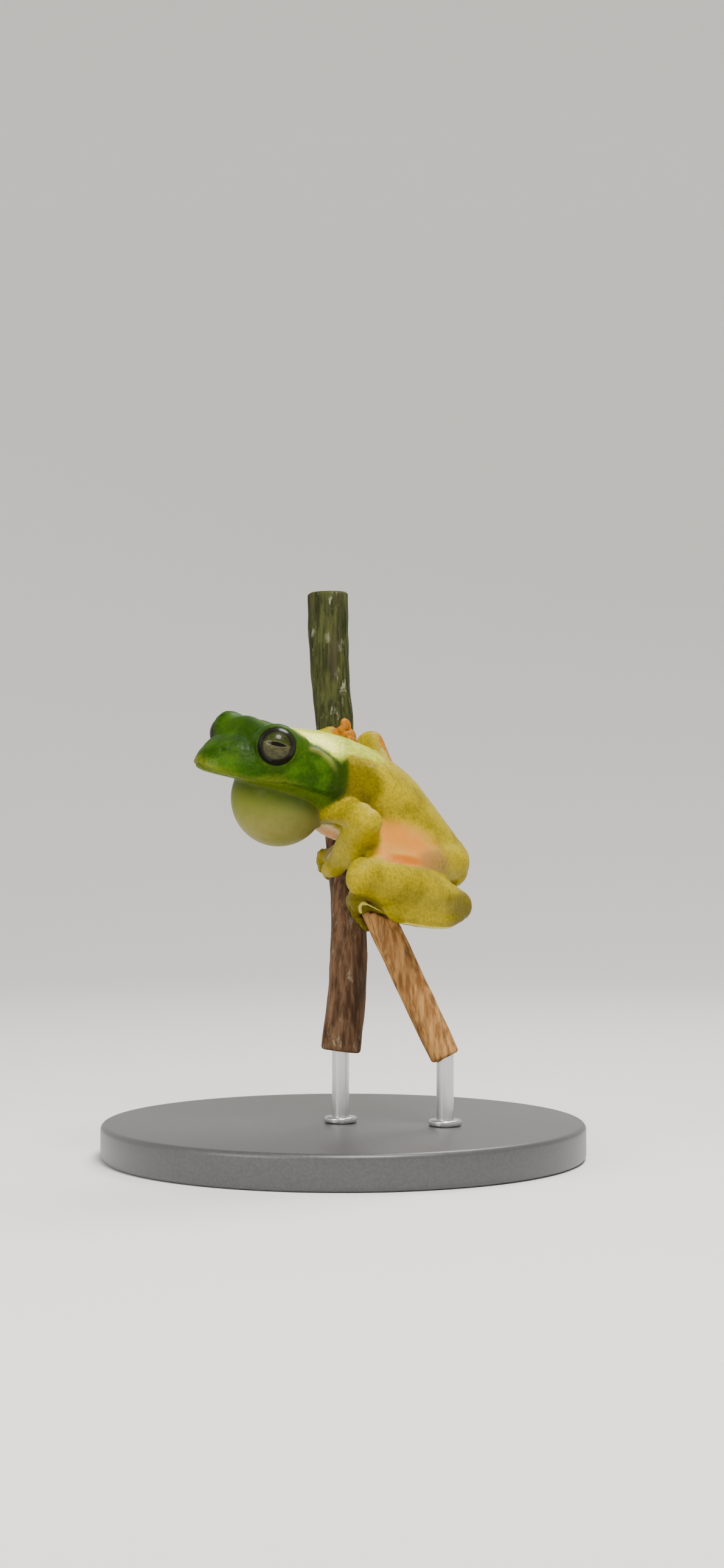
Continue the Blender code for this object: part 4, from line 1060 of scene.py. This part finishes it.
def branch_ring(branch, height, phases, seed, rough):
    """The bark's outline at one height of a branch."""
    turn = turns(BRANCH_SIDES)
    around = np.stack([np.cos(turn), np.sin(turn)], 1)
    axis, radius, along, front, aside = branch_at(branch, height)
    ripple = (np.sin(2 * turn + height * 0.21 + phases[0]) * 0.5
              + np.sin(3 * turn - height * 0.33 + phases[1]) * 0.3
              + math.sin(height * 0.55 + phases[2]) * 0.2)
    cracks, lumps, splinter = np.array([
        (noise.fractal((x * 2.2 + seed, y * 2.2, height * 0.16), 0.7, 2.1, 5),
         noise.noise((x * 1.1, y * 1.1 + seed, height * 0.3)),
         noise.noise((x * 3.0, y * 3.0, seed))) for x, y in around]).T
    size = radius + BARK_ROUGHNESS * ripple + rough * (0.5 * cracks - 0.35 * np.abs(cracks) + 0.8 * lumps)
    low, high = branch[0][0], branch[-1][0]
    size -= 0.25 * max(0.0, 1.0 - min(height - low, high - height) / 0.35) ** 2
    shift = np.zeros(BRANCH_SIDES)
    if branch is STUB:
        shift = (np.sin(turn) * STUB_BREAK + splinter * 0.5) * ramp(height, high - 4.0, high)
    return (axis + np.outer(np.cos(turn) * size, front) + np.outer(np.sin(turn) * size, aside)
            + np.outer(shift, along))


def branch_piece(name, branch, seed, rough, look):
    """A length of branch with cracked, knotty bark and its two ends."""
    phases = np.random.default_rng(seed).uniform(0.0, 2 * math.pi, 3)
    low, high = branch[0][0], branch[-1][0]
    heights = np.linspace(low, high, int((high - low) / 0.16))
    rings = np.array([branch_ring(branch, height, phases, seed, rough) for height in heights])
    shares = np.linspace(0.0, 1.0, CAP_RINGS + 2)[1:-1]
    middles = rings[[0, -1]].mean(axis=1)
    bottom, top = (np.array([middle + (ring - middle) * share for share in shares])
                   for ring, middle in zip(rings[[0, -1]], middles))
    points, faces = loft(np.concatenate([bottom, rings, top[::-1]]), *middles)
    made = mesh_object(name, points, faces)
    cut = np.ones(len(points))
    cut[BRANCH_SIDES * CAP_RINGS:BRANCH_SIDES * (CAP_RINGS + len(rings))] = 0.0
    add_values(made, "cut", cut)
    made.data.materials.append(look)
    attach(made, "root")
    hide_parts(name)


def end_grain(look):
    """Pale sawn wood with rings."""
    rings = look.texture("ShaderNodeTexWave", 1.0, wave_type="RINGS", rings_direction="Z")
    rings.inputs["Scale"].default_value = 0.55
    rings.inputs["Distortion"].default_value = 1.5
    return look.mix(look.times(rings.outputs["Fac"], 0.6), (0.52, 0.37, 0.21), (0.34, 0.21, 0.10))


def finish_wood(look, base, grain, fine, weight, depth):
    """Adds a branch's pale cut ends and the relief of its grain."""
    look.colour(look.mix(look.zone("cut"), base, end_grain(look)))
    look.bump(look.math("ADD", look.times(grain, 0.8), look.times(fine, weight)), depth, 0.8)
    return look.material


def bark_look():
    look = Look("bark", Roughness=0.75, Specular_IOR_Level=0.15)
    long = (1.0, 1.0, 0.14)
    grain = look.noise(1.4, 5.0, 0.65, long)
    blotch = look.noise(0.28, 4.0, 0.6, (1.0, 1.0, 0.5))
    fine = look.noise(6.0, 3.0, 0.6, (1.0, 1.0, 0.4))
    low = look.blend(grain, 0.35, 0.65, (0.050, 0.024, 0.011), (0.165, 0.088, 0.045))
    high = look.blend(grain, 0.35, 0.65, (0.012, 0.014, 0.002), (0.050, 0.056, 0.013))
    wander = look.times(look.math("SUBTRACT", blotch, 0.5), 0.03)
    rise = look.math("ADD", look.axes()["Z"], wander)
    lichen = look.times(look.band(look.noise(0.7, 5.0, 0.7, (1.0, 1.0, 0.35)), 0.56, 0.63),
                        look.band(blotch, 0.42, 0.6))
    base = look.layers(look.blend(rise, 0.040, 0.054, low, high), (
        (look.times(lichen, 0.5), (0.36, 0.35, 0.25)),
        (look.times(look.band(look.noise(0.5, 4.0, 0.6, long), 0.44, 0.36), 0.6), (0.035, 0.026, 0.016)),
        (0.35, look.mix(fine, (0.5, 0.5, 0.5), (1.3, 1.3, 1.3)), "MULTIPLY")))
    return finish_wood(look, base, grain, fine, 0.35, 0.16)


def stub_look():
    look = Look("bare_wood", Roughness=0.68, Specular_IOR_Level=0.2)
    long = (1.0, 1.0, 0.12)
    grain = look.noise(1.3, 5.0, 0.6, long)
    fibre = look.noise(4.5, 4.0, 0.6, (1.0, 1.0, 0.08))
    base = look.layers(look.blend(grain, 0.34, 0.66, (0.18, 0.070, 0.016), (0.46, 0.24, 0.075)), (
        (look.times(look.band(look.noise(0.9, 4.0, 0.6, long), 0.45, 0.36), 0.6), (0.10, 0.055, 0.022)),
        (0.4, look.mix(fibre, (0.5, 0.5, 0.5), (1.35, 1.35, 1.35)), "MULTIPLY")))
    return finish_wood(look, base, grain, fibre, 0.4, 0.14)


def turned_piece(name, centre, profile, look, nodes, sides=128):
    """A solid turned about an upright axis from rows of radius and height."""
    turn = turns(sides)
    rings = np.array([np.stack([centre[0] + np.cos(turn) * radius, centre[1] + np.sin(turn) * radius,
                                np.full(sides, height)], 1) for radius, height in profile])
    made = mesh_object(name, *loft(rings, rings[0].mean(axis=0), rings[-1].mean(axis=0)))
    made.data.materials.append(look)
    made.data.set_sharp_from_angle(angle=math.radians(35.0))
    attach(made, "root")
    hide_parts(*nodes)


def rounded(radius, low, high, bevel, steps=6):
    """A disc's profile with both edges rounded, from its under side to its top."""
    bends = np.linspace(0.0, 0.5 * math.pi, steps)
    wide = radius - bevel
    return [(wide + bevel * math.sin(bend), low + bevel - bevel * math.cos(bend)) for bend in bends] + [
        (wide + bevel * math.cos(bend), high - bevel + bevel * math.sin(bend)) for bend in bends]


def stand_look():
    look = Look("satin_stand", Roughness=0.42, Coat_Weight=0.2, Coat_Roughness=0.3)
    fine = look.noise(2.5, 4.0, 0.6)
    look.colour(look.blend(fine, 0.3, 0.7, (0.045, 0.045, 0.048), (0.060, 0.060, 0.064)))
    look.feed(look.shader.inputs["Roughness"], look.math("ADD", look.times(fine, 0.12), 0.36))
    look.bump(fine, 0.02, 0.4)
    return look.material


def rod_look():
    look = Look("brushed_rod", Metallic=1.0, Roughness=0.3)
    brush = look.noise(6.0, 3.0, 0.6, (1.0, 1.0, 0.03))
    look.colour(look.mix(brush, (0.42, 0.42, 0.43), (0.70, 0.70, 0.70)))
    look.feed(look.shader.inputs["Roughness"], look.math("ADD", look.times(brush, 0.2), 0.2))
    look.bump(brush, 0.01, 0.3)
    return look.material


def make_stand():
    turned_piece("display_base", (0.0, 0.0), rounded(BASE_RADIUS, 0.0, BASE_HEIGHT, 0.8), stand_look(),
                 ["stand_base"])
    rod = rod_look()
    collar_top = BASE_HEIGHT + COLLAR_HEIGHT
    for name, branch in (("stand_rod_stem", STEM), ("stand_rod_stub", STUB)):
        axis = branch_at(branch, branch[0][0])[0]
        profile = rounded(ROD_RADIUS + 1.1, BASE_HEIGHT, collar_top, 0.3)
        profile += [(ROD_RADIUS, collar_top), (ROD_RADIUS, branch[0][0] + 1.0)]
        turned_piece(f"{name}_turned", axis, profile, rod, [name], 48)


def make_stage():
    """A pale round floor that curves up into a backdrop on every side, past all the cameras."""
    flat, bend, high = 330.0, 300.0, 460.0
    profile = [(10.0, 0.0), (flat * 0.5, 0.0), (flat, 0.0)]
    profile += [(flat + bend * math.sin(turn), bend - bend * math.cos(turn))
                for turn in np.linspace(0.0, 0.5 * math.pi, 20)[1:]]
    profile.append((flat + bend, high))
    sides = 96
    points = [(radius * math.cos(angle), radius * math.sin(angle), height)
              for radius, height in profile for angle in turns(sides)]
    faces = [tuple(range(sides))]
    for row in range(0, (len(profile) - 1) * sides, sides):
        for side in range(sides):
            after = (side + 1) % sides
            faces.append((row + side, row + sides + side, row + sides + after, row + after))
    floor = mesh_object("floor", points, faces)
    look = Look("pale_floor", Roughness=0.75)
    look.colour((0.80, 0.795, 0.78))
    floor.data.materials.append(look.material)


def add_light(name, place, target, size, power, colour):
    data = bpy.data.lights.new(name, "AREA")
    data.shape = "DISK"
    data.size = size * MM
    data.energy = power
    data.color = colour
    made = bpy.data.objects.new(name, data)
    bpy.context.scene.collection.objects.link(made)
    made.location = Vector(place) * MM
    made.rotation_euler = (Vector(target) - Vector(place)).to_track_quat("-Z", "Y").to_euler()
    made.visible_camera = False


def make_lights_and_camera():
    target = (0.0, 0.0, 48.0)
    add_light("key", (60.0, -200.0, 390.0), target, 180.0, 2.9, (1.0, 0.975, 0.92))
    add_light("back", (110.0, 190.0, 360.0), target, 180.0, 1.2, (1.0, 0.985, 0.95))
    add_light("fill", (-260.0, -250.0, 200.0), target, 200.0, 0.8, (1.0, 0.99, 0.96))
    world = bpy.data.worlds.new("studio")
    bpy.context.scene.world = world
    world.use_nodes = True
    sky = world.node_tree.nodes["Background"]
    sky.inputs["Color"].default_value = (1.0, 0.985, 0.955, 1.0)
    sky.inputs["Strength"].default_value = 0.30
    data = bpy.data.cameras.new("camera")
    data.sensor_fit = "AUTO"
    data.sensor_width = 36.0
    data.lens = FOCAL_PIXELS / max(PICTURE) * data.sensor_width
    data.clip_start, data.clip_end = 0.01, 10.0
    camera = bpy.data.objects.new("camera", data)
    bpy.context.scene.collection.objects.link(camera)
    camera.location = Vector(CAMERA_AT) * MM
    camera.rotation_euler = (math.radians(90.0), 0.0, 0.0)
    bpy.context.scene.camera = camera


def main():
    skin = make_skin()
    skin.data.materials.append(skin_look())
    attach(skin, "root")
    flesh = ["head", "torso", "vocal_sac"] + [
        f"{part}_{side}" for side in ("left", "right")
        for part in ("upper_arm", "forearm", "hand", "thigh", "shank", "tarsus", "foot")]
    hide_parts(*flesh)
    make_eyes()
    branch_piece("perch_stem", STEM, 3, 0.16, bark_look())
    branch_piece("perch_stub", STUB, 5, 0.14, stub_look())
    make_stand()
    make_stage()
    make_lights_and_camera()


main()
